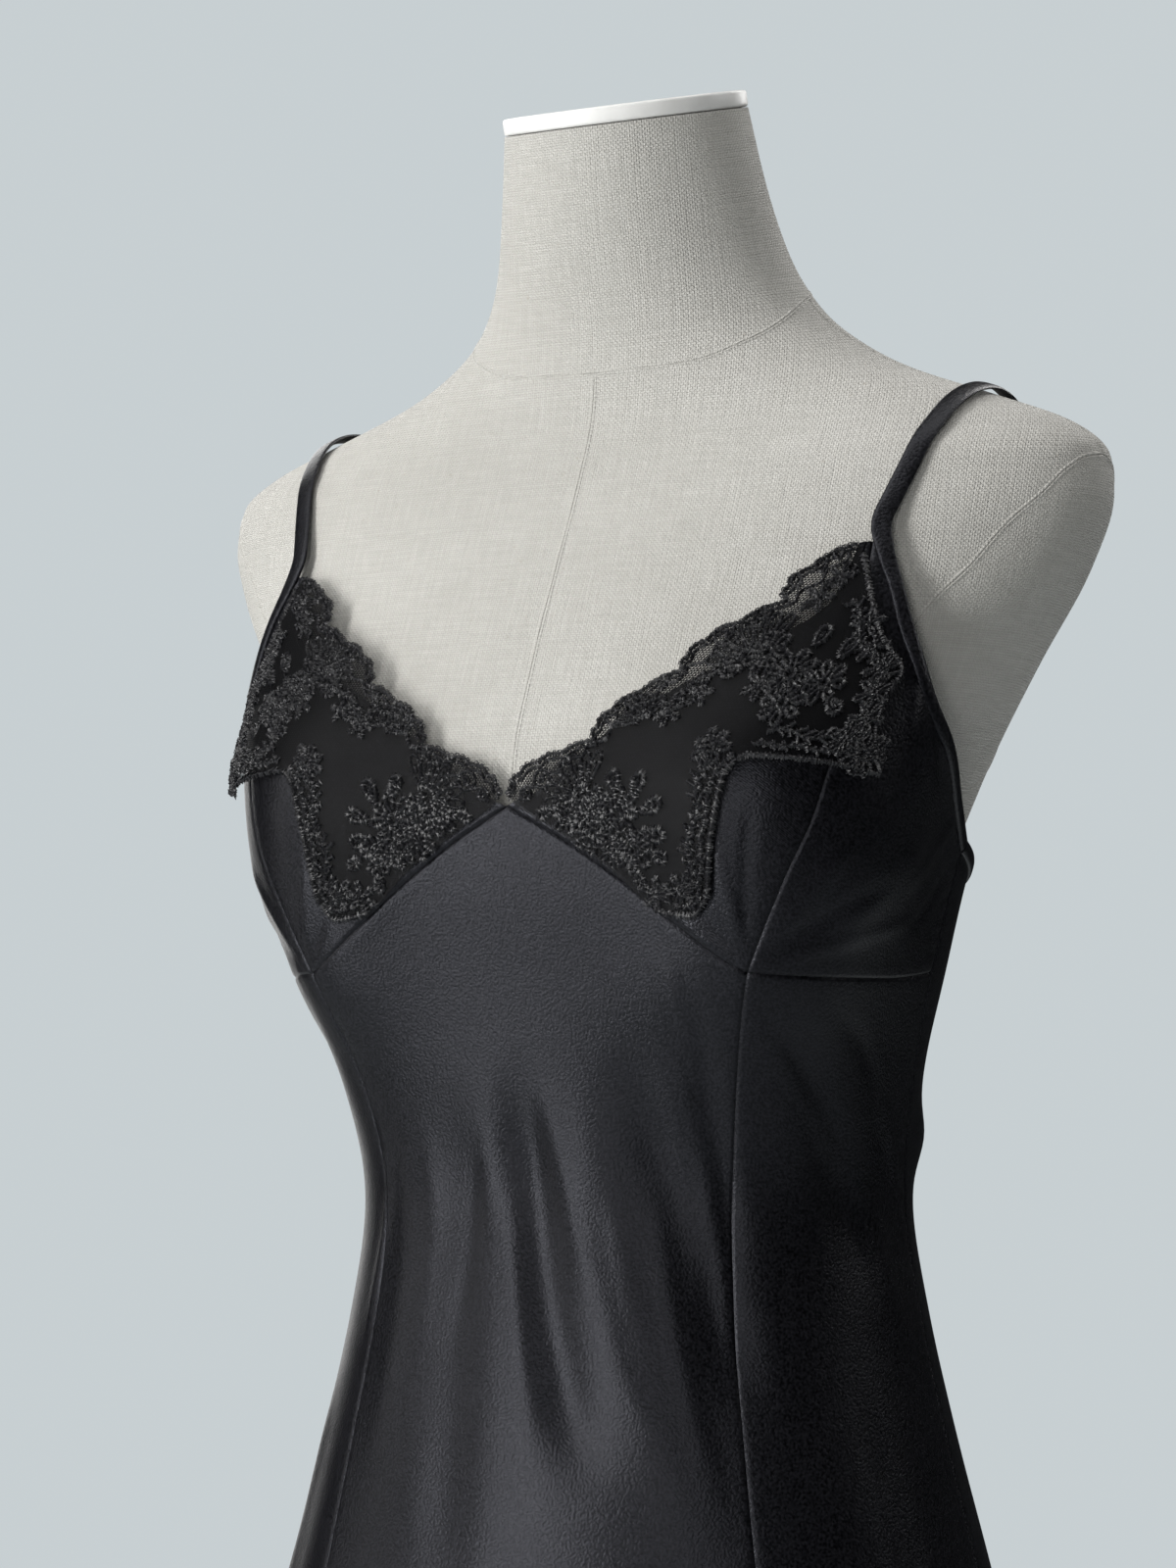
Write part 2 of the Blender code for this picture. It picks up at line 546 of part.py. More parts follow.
def cups(material):
    """Each cup in two parts, which meet along a seam from the strap down to the side of the front."""
    cup_seam = through(CUP_SEAM, CUP_ROWS)
    neck = through(SATIN_NECK, CUP_ROWS)
    tip = straight(STRAP_INNER, STRAP_MIDDLE, CUP_COLUMNS)
    under_cup = through(UNDER_CUP, CUP_COLUMNS)
    both_sides("cup_inner", patch(under_cup, tip, neck, cup_seam), CLOTH, material)

    armhole = through(ARMHOLE, ARMHOLE_COLUMNS - 1)
    top = np.concatenate([[STRAP_MIDDLE], armhole])
    foot = through(UNDERBUST, ARMHOLE_COLUMNS)
    side = straight(SIDE_UNDERBUST, ARMPIT, CUP_ROWS)
    both_sides("cup_outer", patch(foot, top, cup_seam, side), CLOTH, material)


def scalloped(along):
    """How far out the scallops stand, from 0 to 1, at shares of the way along the lace's upper edge."""
    ends = np.array(SCALLOP_ENDS)
    k = np.clip(np.searchsorted(ends, along, side="right") - 1, 0, len(ends) - 2)
    return np.sin(np.pi * ((along - ends[k]) / (ends[k + 1] - ends[k])) ** SCALLOP_SKEW)


def lace(material):
    """A scalloped wall of lace on each cup. Its loose corner stands further off on the right."""
    low = through(LACE_LOW, LACE_ALONG)
    top = through(LACE_TOP, LACE_ALONG)
    depth = SCALLOP_DEPTH * scalloped(np.linspace(0, 1, LACE_ALONG + 1))
    top = beside(top, depth[:, None])
    grid = strip(low, top, LACE_ACROSS)
    off = (grid - LACE_CORNER) * (FOLD_SCALE, 1)
    loose = soft_step(1 - np.hypot(off[..., 0], off[..., 1]) / FLARE_REACH)
    left_lift = LACE_CLEAR + LACE + LACE_FLARE["left"] * loose
    wall("lace_left", grid, LACE, material, left_lift)
    right_lift = LACE_CLEAR + LACE + LACE_FLARE["right"] * loose
    wall("lace_right", grid[:, ::-1] * (-1, 1), LACE, material, right_lift[:, ::-1])


def bindings(back_top, material):
    """Narrow bindings on the armholes and across the top of the back."""
    armhole = through(ARMHOLE, BINDING_SEGMENTS)
    inner = beside(armhole, -BINDING_WIDTH)
    both_sides("binding", strip(inner, armhole, 1), BINDING, material, LAID_ON + BINDING)
    below = beside(back_top, -BINDING_WIDTH)
    wall("binding_back", strip(below, back_top, 1), BINDING, material, LAID_ON + BINDING)


def taut(turns, radii):
    """Radii of a line pulled tight round a hub, so that it bridges the hollows that it passes."""
    ways = np.stack([np.cos(turns), np.sin(turns)], -1)
    points = ways * radii[:, None]
    kept = []
    for k, point in enumerate(points):
        while len(kept) > 1:
            span, step = points[kept[-1]] - points[kept[-2]], point - points[kept[-2]]
            if span[0] * step[1] < span[1] * step[0]:
                break
            kept.pop()
        kept.append(k)
    tight = radii.copy()
    for a, b in zip(kept, kept[1:]):
        line = np.linalg.solve(ways[[a, b]], 1 / radii[[a, b]])
        tight[a + 1 : b] = 1 / (ways[a + 1 : b] @ line)
    return tight


def strap_route(body):
    """The middle line of the left strap: from the top of the cup over the shoulder to the back's edge."""
    tip = dress_point(*STRAP_MIDDLE) + (0, 0, STRAP_RISE)
    edge = through(BACK_EDGE, BACK_COLUMNS)
    back_height = np.interp(STRAP_BACK_ANGLE, edge[:, 0], edge[:, 1])
    end = dress_point(STRAP_BACK_ANGLE, back_height) + (0, 0, STRAP_RISE)
    hub_y, hub_z = STRAP_HUB
    first = math.atan2(tip[2] - hub_z, tip[1] - hub_y)
    last = math.atan2(end[2] - hub_z, end[1] - hub_y)
    turns = np.linspace(first, last, STRAP_PROBES + 1)
    x = monotone((last, math.pi / 2, first), (end[0], STRAP_CREST, tip[0]), turns)
    radii = np.array([math.hypot(place[1] - hub_y, place[2] - hub_z) for place in (tip, end)])
    radii = np.interp(np.arange(len(turns)), (0, len(turns) - 1), radii)
    for k in range(1, len(turns) - 1):
        out = Vector((0, math.cos(turns[k]), math.sin(turns[k])))
        hub = Vector((x[k], hub_y, hub_z))
        hit = body.ray_cast(hub + out, -out)[0]
        radii[k] = (hit - hub).length + STRAP_LIFT + STRAP / 2
    radii = taut(turns, radii)
    return np.stack([x, hub_y + radii * np.cos(turns), hub_z + radii * np.sin(turns)], -1)


def straps(body, material):
    """Flat straps, each facing away from the body all the way."""
    for name, turn in (("strap_left", 1), ("strap_right", -1)):
        route = strap_route(body)
        length = np.concatenate([[0], np.cumsum(np.linalg.norm(np.diff(route, axis=0), axis=1))])
        at = np.linspace(0, length[-1], STRAP_SEGMENTS + 1)
        route = np.stack([np.interp(at, length, route[:, k]) for k in range(3)], -1)
        away = np.array([tuple(body.find_nearest(Vector(point))[1]) for point in route])
        for _ in range(STRAP_SMOOTHING):
            away[1:-1] = (away[:-2] + away[1:-1] + away[2:]) / 3
        way = np.gradient(route, axis=0)
        way = way / np.linalg.norm(way, axis=-1, keepdims=True)
        across = np.cross(way, away)
        across = across / np.linalg.norm(across, axis=-1, keepdims=True)
        away = np.cross(across, way)
        ring = [
            route + across * a * STRAP_WIDTH / 2 + away * b * STRAP / 2
            for a, b in ((-1, 1), (1, 1), (1, -1), (-1, -1))
        ]
        points = np.stack(ring, 1) * (turn, 1, 1)
        faces = []
        for i in range(STRAP_SEGMENTS):
            for k in range(4):
                n = (k + 1) % 4
                faces.append((4 * i + k, 4 * i + n, 4 * i + 4 + n, 4 * i + 4 + k))
        last = 4 * STRAP_SEGMENTS
        faces += [(3, 2, 1, 0), (last, last + 1, last + 2, last + 3)]
        if turn == -1:
            faces = [face[::-1] for face in faces]
        new_object(name, points.reshape(-1, 3), faces, material)


def main():
    for old in list(bpy.data.objects):
        bpy.data.objects.remove(old)
    satin = plain_material("black_satin", (0.012, 0.012, 0.014), 0.36)
    black_lace = plain_material("black_lace", (0.010, 0.010, 0.011), 0.65)
    linen = plain_material("linen", (0.62, 0.59, 0.54), 0.90)
    white_wood = plain_material("white_painted_wood", (0.78, 0.78, 0.76), 0.45)
    steel = plain_material("satin_steel", (0.50, 0.50, 0.51), 0.35, 1.0)

    body = form_body(linen)
    form_neck_cap(white_wood)
    stand(steel)
    back_top = panels(satin)
    cups(satin)
    lace(black_lace)
    bindings(back_top, satin)
    shape = [vertex.co for vertex in body.data.vertices], [face.vertices for face in body.data.polygons]
    straps(BVHTree.FromPolygons(*shape), satin)


main()
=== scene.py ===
import math

import bpy
import numpy as np
from mathutils import Matrix, Vector
from mathutils.bvhtree import BVHTree


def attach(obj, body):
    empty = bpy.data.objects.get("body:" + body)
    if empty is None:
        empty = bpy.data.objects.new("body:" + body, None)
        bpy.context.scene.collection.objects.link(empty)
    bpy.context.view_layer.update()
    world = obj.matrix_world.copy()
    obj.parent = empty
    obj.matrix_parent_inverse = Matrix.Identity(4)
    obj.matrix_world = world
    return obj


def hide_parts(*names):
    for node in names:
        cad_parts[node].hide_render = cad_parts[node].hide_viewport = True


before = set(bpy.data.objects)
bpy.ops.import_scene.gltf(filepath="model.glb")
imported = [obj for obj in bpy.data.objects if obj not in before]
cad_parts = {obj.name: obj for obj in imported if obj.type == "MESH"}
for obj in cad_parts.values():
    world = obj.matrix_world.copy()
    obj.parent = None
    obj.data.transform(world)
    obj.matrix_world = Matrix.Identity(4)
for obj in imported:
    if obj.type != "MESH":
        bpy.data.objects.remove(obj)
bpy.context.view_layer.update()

print("frame loaded with", len(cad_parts), "CAD nodes")
dice = np.random.default_rng(31)
collection = bpy.context.scene.collection

# ---- the rings that the body and the dress are built on

formSections = (  # height, half width, front, back, middle, bust, front square, back square, tilt
    (0.745, 0.136, 0.092, 0.100, 0.004, 0.000, 2.15, 2.15, 0),
    (0.757, 0.146, 0.102, 0.111, 0.004, 0.000, 2.15, 2.15, 0),
    (0.800, 0.151, 0.107, 0.119, 0.004, 0.000, 2.15, 2.15, 0),
    (0.840, 0.149, 0.107, 0.119, 0.004, 0.000, 2.15, 2.15, 0),
    (0.900, 0.137, 0.101, 0.107, 0.002, 0.000, 2.15, 2.15, 0),
    (0.960, 0.121, 0.092, 0.089, 0.000, 0.000, 2.15, 2.15, 0),
    (1.030, 0.112, 0.084, 0.076, 0.000, 0.000, 2.20, 2.20, 0),
    (1.080, 0.117, 0.087, 0.081, 0.000, 0.006, 2.35, 2.25, 0),
    (1.121, 0.126, 0.096, 0.089, 0.000, 0.016, 2.60, 2.30, 0),
    (1.165, 0.134, 0.107, 0.096, 0.001, 0.016, 2.70, 2.40, 0),
    (1.200, 0.147, 0.112, 0.102, 0.002, 0.010, 2.80, 2.45, 0),
    (1.250, 0.174, 0.098, 0.104, 0.006, 0.002, 2.25, 2.45, 0),
    (1.290, 0.198, 0.083, 0.096, 0.011, 0.000, 2.10, 2.45, 0),
    (1.318, 0.207, 0.074, 0.084, 0.016, 0.000, 2.20, 2.40, 1),
    (1.334, 0.206, 0.069, 0.078, 0.018, 0.000, 2.20, 2.30, 2),
    (1.347, 0.193, 0.065, 0.073, 0.019, 0.000, 2.00, 2.20, 4),
    (1.360, 0.161, 0.060, 0.068, 0.018, 0.000, 2.00, 2.10, 6),
    (1.380, 0.110, 0.055, 0.062, 0.015, 0.000, 2.00, 2.00, 9),
    (1.402, 0.080, 0.051, 0.058, 0.011, 0.000, 2.00, 2.00, 12),
    (1.425, 0.0668, 0.050, 0.055, 0.005, 0.000, 2.00, 2.00, 14),
    (1.455, 0.0592, 0.050, 0.052, -0.003, 0.000, 2.00, 2.00, 15),
    (1.488, 0.0538, 0.049, 0.050, -0.010, 0.000, 2.00, 2.00, 15),
)
dressSections = (  # the same, with how far the cups stand off at the side in place of the tilt
    (0.560, 0.224, 0.172, 0.176, 0.000, 0.000, 2.00, 2.00, 0.000),
    (0.700, 0.190, 0.145, 0.151, 0.000, 0.000, 2.05, 2.05, 0.000),
    (0.800, 0.168, 0.127, 0.135, 0.001, 0.000, 2.10, 2.10, 0.000),
    (0.866, 0.153, 0.117, 0.123, 0.001, 0.000, 2.15, 2.15, 0.000),
    (0.930, 0.137, 0.107, 0.108, 0.000, 0.000, 2.15, 2.15, 0.000),
    (0.980, 0.126, 0.099, 0.097, 0.000, 0.000, 2.15, 2.15, 0.000),
    (1.030, 0.119, 0.092, 0.088, 0.000, 0.003, 2.20, 2.20, 0.000),
    (1.080, 0.124, 0.097, 0.089, 0.000, 0.013, 2.40, 2.25, 0.000),
    (1.121, 0.133, 0.104, 0.094, 0.000, 0.023, 2.70, 2.30, 0.002),
    (1.165, 0.142, 0.114, 0.101, 0.001, 0.022, 2.80, 2.40, 0.012),
    (1.200, 0.154, 0.118, 0.107, 0.002, 0.016, 3.00, 2.45, 0.008),
    (1.250, 0.180, 0.104, 0.109, 0.006, 0.005, 2.40, 2.45, 0.002),
    (1.290, 0.204, 0.089, 0.101, 0.011, 0.000, 2.12, 2.45, 0.000),
    (1.330, 0.211, 0.075, 0.086, 0.017, 0.000, 2.05, 2.35, 0.000),
)
figure = {
    "hem": 0.560,
    "bustPoint": 0.115,
    "bustSpread": 0.048,
    "sideAngle": 64,
    "sideSpread": 15,
    "formSoftness": 0.003,  # how far the rings are blended up and down
    "dressSoftness": 0.009,
}

# ---- folds: where each starts and ends, its bow, width and depth, with troughs below zero

foldScale = 0.0025  # metres of cloth for a degree
foldFade = 0.3
folds = (
    (-4, 1.095, 16, 0.905, -0.008, 0.013, -0.0045),
    (9, 1.085, 33, 0.890, -0.006, 0.013, 0.0020),
    (25, 1.100, 37, 0.975, 0.002, 0.010, 0.0014),
    (17, 1.095, 43, 0.930, 0.009, 0.014, -0.0036),
    (30, 1.122, 42, 0.990, 0.004, 0.008, -0.0018),
    (-19, 1.090, -11, 0.840, 0.000, 0.014, -0.0020),
    (-33, 1.085, -30, 0.900, 0.002, 0.012, 0.0014),
    (50, 1.116, 74, 0.985, 0.004, 0.012, -0.0022),
    (66, 1.100, 84, 0.960, 0.002, 0.012, 0.0015),
    (-55, 1.112, -72, 0.980, -0.004, 0.012, -0.0020),
    (58, 1.130, 76, 1.178, 0.000, 0.010, 0.0018),
    (-57, 1.132, -78, 1.172, 0.000, 0.010, 0.0016),
    (98, 1.050, 176, 1.048, 0.003, 0.015, 0.0050),
    (132, 1.092, 174, 1.082, 0.003, 0.010, 0.0032),
    (128, 1.012, 170, 1.004, -0.003, 0.010, 0.0028),
    (262, 1.054, 188, 1.046, 0.003, 0.014, 0.0046),
    (230, 1.094, 190, 1.084, 0.002, 0.010, 0.0030),
    (234, 1.010, 192, 1.002, -0.002, 0.011, 0.0026),
    (148, 1.010, 139, 0.780, 0.004, 0.016, -0.0030),
    (176, 1.020, 184, 0.800, 0.004, 0.016, 0.0030),
    (214, 1.015, 222, 0.760, -0.004, 0.017, -0.0032),
    (-18, 0.900, -22, 0.380, 0.000, 0.030, 0.0085),
    (9, 0.860, 7, 0.380, 0.000, 0.024, -0.0070),
    (31, 0.890, 36, 0.380, 0.000, 0.032, 0.0100),
    (58, 0.850, 60, 0.380, 0.000, 0.026, -0.0080),
    (84, 0.900, 86, 0.380, 0.000, 0.030, 0.0090),
    (109, 0.830, 113, 0.380, 0.000, 0.024, -0.0070),
    (134, 0.900, 137, 0.380, 0.000, 0.032, 0.0100),
    (162, 0.860, 160, 0.380, 0.000, 0.028, -0.0075),
    (188, 0.890, 186, 0.380, 0.000, 0.028, 0.0090),
    (213, 0.840, 214, 0.380, 0.000, 0.026, -0.0085),
    (240, 0.900, 243, 0.380, 0.000, 0.034, 0.0105),
    (268, 0.850, 270, 0.380, 0.000, 0.026, -0.0075),
    (-66, 0.900, -68, 0.380, 0.000, 0.030, 0.0085),
    (-43, 0.850, -45, 0.380, 0.000, 0.024, -0.0070),
)
creases = (  # finer ones, which the CAD solids leave out
    (43, 1.128, 36, 1.176, 0.0015, 0.0026, 0.0010),
    (42, 1.125, 31, 1.158, 0.0010, 0.0024, -0.0008),
    (43, 1.127, 40, 1.190, -0.0010, 0.0022, -0.0007),
    (39, 1.128, 27, 1.150, 0.0010, 0.0022, 0.0007),
    (-43, 1.128, -37, 1.172, -0.0012, 0.0026, 0.0009),
    (-42, 1.126, -32, 1.160, -0.0010, 0.0024, -0.0007),
    (46, 1.128, 58, 1.176, -0.0020, 0.0040, 0.0011),
    (46, 1.126, 70, 1.160, 0.0015, 0.0036, -0.0009),
    (48, 1.124, 80, 1.142, 0.0012, 0.0030, 0.0008),
    (-46, 1.128, -60, 1.172, 0.0018, 0.0038, 0.0010),
    (-47, 1.125, -76, 1.150, -0.0012, 0.0034, -0.0008),
    (52, 1.262, 62, 1.205, 0.0012, 0.0030, 0.0008),
    (57, 1.240, 74, 1.190, 0.0016, 0.0032, -0.0008),
    (88, 1.188, 70, 1.150, 0.0020, 0.0040, 0.0010),
    (93, 1.170, 76, 1.134, 0.0016, 0.0036, -0.0009),
    (-88, 1.186, -68, 1.150, -0.0018, 0.0040, 0.0010),
    (44, 1.112, 62, 1.062, 0.0020, 0.0034, -0.0009),
    (47, 1.100, 70, 1.030, 0.0024, 0.0040, 0.0009),
    (60, 1.112, 88, 1.052, 0.0030, 0.0042, -0.0010),
    (72, 1.098, 94, 1.020, 0.0020, 0.0046, 0.0011),
    (-50, 1.110, -70, 1.040, -0.0022, 0.0040, -0.0009),
    (-64, 1.108, -90, 1.046, -0.0026, 0.0042, 0.0010),
    (26, 1.135, 35, 1.070, 0.0020, 0.0034, 0.0007),
    (2, 1.080, 14, 0.985, -0.0030, 0.0052, 0.0008),
    (12, 1.050, 26, 0.940, -0.0040, 0.0056, -0.0008),
    (-6, 1.040, 4, 0.930, -0.0020, 0.0050, 0.0008),
    (-14, 1.060, -16, 0.960, 0.0010, 0.0048, -0.0007),
    (24, 1.040, 36, 0.900, -0.0020, 0.0060, 0.0009),
    (34, 1.060, 39, 0.960, 0.0020, 0.0042, 0.0008),
    (-26, 1.070, -24, 0.950, 0.0016, 0.0050, 0.0006),
    (-36, 1.080, -44, 0.960, -0.0016, 0.0044, 0.0007),
    (128, 1.110, 158, 1.094, 0.0026, 0.0050, 0.0010),
    (130, 1.066, 160, 1.060, -0.0020, 0.0040, 0.0012),
    (134, 1.034, 168, 1.030, 0.0020, 0.0046, 0.0010),
    (136, 1.076, 166, 1.072, 0.0014, 0.0044, -0.0010),
    (228, 1.112, 204, 1.096, -0.0020, 0.0050, 0.0010),
    (226, 1.066, 200, 1.062, 0.0020, 0.0042, 0.0011),
    (224, 1.034, 196, 1.032, 0.0016, 0.0042, -0.0010),
    (150, 1.142, 162, 1.104, 0.0010, 0.0046, -0.0009),
    (206, 1.144, 198, 1.110, 0.0010, 0.0046, -0.0009),
    (176, 1.140, 180, 1.090, 0.0010, 0.0050, 0.0008),
    (126, 1.020, 132, 0.920, 0.0030, 0.0070, 0.0012),
    (160, 1.000, 156, 0.900, -0.0024, 0.0070, -0.0011),
    (196, 1.010, 202, 0.910, 0.0030, 0.0064, 0.0011),
    (232, 1.010, 228, 0.900, 0.0030, 0.0070, -0.0012),
    (-58, 0.960, -62, 0.820, 0.0020, 0.0080, 0.0012),
    (66, 0.960, 72, 0.820, 0.0020, 0.0080, -0.0012),
)


def monotone(xs, ys, at):
    xs, ys = np.asarray(xs, float), np.asarray(ys, float)
    at = np.clip(np.asarray(at, float), xs[0], xs[-1])
    step = np.diff(xs)
    slope = np.diff(ys) / step
    product = slope[1:] * slope[:-1]
    total = slope[1:] + slope[:-1]
    inner = np.where(product > 0, 2 * product / np.where(product > 0, total, 1), 0)
    tangent = np.concatenate([[slope[0]], inner, [slope[-1]]])
    i = np.clip(np.searchsorted(xs, at, side="right") - 1, 0, len(step) - 1)
    f = (at - xs[i]) / step[i]
    start = (1 + 2 * f) * (1 - f) ** 2 * ys[i] + f * (1 - f) ** 2 * step[i] * tangent[i]
    end = f**2 * (3 - 2 * f) * ys[i + 1] + f**2 * (f - 1) * step[i] * tangent[i + 1]
    return start + end


def softStep(f):
    f = np.clip(f, 0, 1)
    return f * f * (3 - 2 * f)


def bump(distance, width):
    return np.exp(-((distance / width) ** 2))


def blendedRings(sections, softness):
    # the columns of a table of rings at every millimetre, blended so that no row shows as a kink
    rows = np.array(sections, float)
    step = 0.001
    heights = np.arange(rows[0, 0], rows[-1, 0] + step / 2, step)
    reach = int(3 * softness / step)
    weight = bump(np.arange(-reach, reach + 1) * step, softness * math.sqrt(2))
    columns = []
    for k in range(1, rows.shape[1]):
        line = monotone(rows[:, 0], rows[:, k], heights)
        line = np.pad(line, reach, mode="reflect", reflect_type="odd")
        columns.append(np.convolve(line, weight / weight.sum(), "valid"))
    return heights, columns


formRings = blendedRings(formSections, figure["formSoftness"])
dressRings = blendedRings(dressSections, figure["dressSoftness"])


def readRings(rings, height):
    heights, columns = rings
    return [np.interp(height, heights, line) for line in columns]


def ringPoint(rings, angle, height):
    turn = np.radians(angle)
    side, ahead = np.sin(turn), np.cos(turn)
    halfWidth, front, back, middle, bust, frontSquare, backSquare, last = readRings(rings, height)
    square = backSquare + (frontSquare - backSquare) * softStep(0.5 + 0.75 * ahead)
    corner = (np.abs(side) ** square + np.abs(ahead) ** square) ** (-1 / square)
    x = halfWidth * side * corner
    depth = (front + back) / 2 + (front - back) / 2 * ahead
    y = middle - depth * ahead * corner
    swell = bump(np.abs(x) - figure["bustPoint"], figure["bustSpread"]) * softStep(2 * ahead)
    return x, y - bust * swell, middle, last


def formPoint(angle, height):
    angle, height = np.broadcast_arrays(np.asarray(angle, float), np.asarray(height, float))
    x, y, middle, tilt = ringPoint(formRings, angle, height)
    reach = y - middle
    tilt = np.radians(tilt)
    return np.stack([x, middle + reach * np.cos(tilt), height + reach * np.sin(tilt)], -1)


def foldDepth(rows, angle, height):
    pushed = np.zeros(np.broadcast(angle, height).shape)
    for angleA, heightA, angleB, heightB, bow, width, depth in rows:
        near = (angleA + angleB) / 2 + (angle - (angleA + angleB) / 2 + 180) % 360 - 180
        run, rise = foldScale * (angleB - angleA), heightB - heightA
        length = math.hypot(run, rise)
        over, up = foldScale * (near - angleA), height - heightA
        along = (over * run + up * rise) / length**2
        across = (up * run - over * rise) / length - bow * 4 * along * (1 - along)
        fade = softStep(along / foldFade) * softStep((1 - along) / foldFade)
        pushed = pushed + depth * fade * bump(across, width)
    return pushed


def dressPoint(angle, height):
    angle, height = np.broadcast_arrays(np.asarray(angle, float), np.asarray(height, float))
    x, y, _, side = ringPoint(dressRings, angle, height)
    turn = (angle + 180) % 360 - 180
    out = side * bump(np.abs(turn) - figure["sideAngle"], figure["sideSpread"])
    out = out + foldDepth(folds, angle, height) + foldDepth(creases, angle, height)
    return np.stack([x + out * np.sin(np.radians(angle)), y - out * np.cos(np.radians(angle)), height], -1)


def slopes(point, angle, height):
    # how the point moves for a degree round and for a metre up
    turn, rise = 0.05, 0.0004
    around = point(angle + turn, height) - point(angle - turn, height)
    upwards = point(angle, height + rise) - point(angle, height - rise)
    return around / (2 * turn), upwards / (2 * rise)


def normals(point, angle, height):
    around, upwards = slopes(point, angle, height)
    normal = np.cross(around, upwards)
    return normal / np.linalg.norm(normal, axis=-1, keepdims=True)


# ---- seams and edges on the wearer's left, as (angle, height) places; the right mirrors them

neckPoint = (0, 1.1875)
cupFoot = (43.5, 1.1205)
sideUnderbust = (94, 1.1210)
armpit = (97, 1.1750)
strapInner = (38.8, 1.2920)
strapMiddle = (40.5, 1.2930)
strapOuter = (42.2, 1.2922)
underCup = (neckPoint, (10, 1.1735), (20, 1.1570), (30, 1.1390), (38, 1.1265), cupFoot)
underbust = (cupFoot, (57, 1.1190), (74, 1.1185), sideUnderbust)
cupSeam = (
    cupFoot, (45.5, 1.1350), (48, 1.1560), (50, 1.1820), (49.5, 1.2010),
    (46.5, 1.2220), (43.8, 1.2420), (42, 1.2700), strapMiddle,
)
satinNeck = (
    neckPoint, (7.5, 1.1960), (15.5, 1.2160), (24.5, 1.2350), (33, 1.2510), (38.6, 1.2680), strapInner,
)
armhole = (strapOuter, (45.5, 1.2800), (52, 1.2570), (63, 1.2260), (79, 1.2000), armpit)
princess = ((40, 0.560), (40, 0.890), (40.3, 0.990), (41.3, 1.060), (42.5, 1.099), cupFoot)
sideSeam = ((92, 0.560), (94, 0.800), (97, 1.020), (96.5, 1.050), (95.5, 1.080), sideUnderbust)
backEdge = (armpit, (120, 1.1630), (150, 1.1520), (180, 1.1490))


def flatSteps(places):
    return np.diff(places, axis=0) * (foldScale, 1)


def through(places, at):
    # places along a smooth curve, at shares of its length
    places = np.array(places, float)
    steps = flatSteps(places)
    length = np.concatenate([[0], np.cumsum(np.hypot(steps[:, 0], steps[:, 1]))])
    read = np.asarray(at) * length[-1]
    return np.stack([monotone(length, places[:, 0], read), monotone(length, places[:, 1], read)], -1)


def straight(a, b, at):
    f = np.asarray(at)[:, None]
    return np.array(a, float) * (1 - f) + np.array(b, float) * f


def mirrored(edge):
    return edge[::-1] * (-1, 1)


def patch(bottom, top, left, right, across, upwards):
    u = across[None, :, None]
    v = upwards[:, None, None]
    between = (1 - v) * bottom[None] + v * top[None] + (1 - u) * left[:, None] + u * right[:, None]
    corners = (1 - u) * (1 - v) * bottom[0] + u * (1 - v) * bottom[-1]
    return between - corners - (1 - u) * v * top[0] - u * v * top[-1]


def shares(length, step, fineStart=True, fineEnd=True):
    # shares of a length, closer together beside an edge that is sewn
    fine = np.array([0.0005, 0.0010, 0.0016, 0.0024, 0.0034, 0.0046, 0.0062])
    start = fine / length if fineStart else np.zeros(0)
    end = 1 - fine[::-1] / length if fineEnd else np.zeros(0)
    low = start[-1] if fineStart else 0
    high = end[0] if fineEnd else 1
    middle = np.linspace(low, high, max(3, int(length * (high - low) / step)) + 1)
    parts = [[0.0], start, middle[1 if fineStart or low == 0 else 0:-1], end, [1.0]]
    return np.unique(np.concatenate(parts).round(7))


# ---- meshes


def addMesh(name, points, faces, material, uv=None, sharpAngle=50):
    # faces is a list of arrays, each of faces with as many corners; uv gives each point's place on the cloth
    mesh = bpy.data.meshes.new(name)
    every = [row for block in faces for row in np.asarray(block).tolist()]
    mesh.from_pydata(np.asarray(points, float).tolist(), [], every)
    if uv is not None:
        corners = np.array([v for row in every for v in row])
        layer = mesh.uv_layers.new(name="cloth")
        layer.data.foreach_set("uv", np.asarray(uv, np.float32)[corners].ravel())
    mesh.shade_smooth()
    mesh.set_sharp_from_angle(angle=math.radians(sharpAngle))
    mesh.materials.append(material)
    made = bpy.data.objects.new(name, mesh)
    collection.objects.link(made)
    return made


def gridFaces(rows, columns, first=0, around=False, flip=False):
    i = np.arange(rows - 1)[:, None]
    j = np.arange(columns if around else columns - 1)[None, :]
    n = (j + 1) % columns
    a, b = first + i * columns + j, first + i * columns + n
    c, d = first + (i + 1) * columns + n, first + (i + 1) * columns + j
    quads = np.stack([a, b, c, d], -1).reshape(-1, 4)
    return quads[:, ::-1] if flip else quads


def rimFaces(rows, columns):
    # the edge that closes two grids of points, the second counted after the first
    rim = [(0, j) for j in range(columns)] + [(i, columns - 1) for i in range(1, rows)]
    rim += [(rows - 1, j) for j in range(columns - 2, -1, -1)] + [(i, 0) for i in range(rows - 2, 0, -1)]
    rim = np.array([i * columns + j for i, j in rim])
    nextRim, count = np.roll(rim, -1), rows * columns
    return np.stack([count + rim, count + nextRim, nextRim, rim], -1)


def cappedFaces(rows, count):
    # rings round an axis, closed at the foot and the head
    last = (rows - 1) * count
    foot, head = list(range(count - 1, -1, -1)), list(range(last, last + count))
    return [gridFaces(rows, count, around=True), np.array([foot]), np.array([head])]


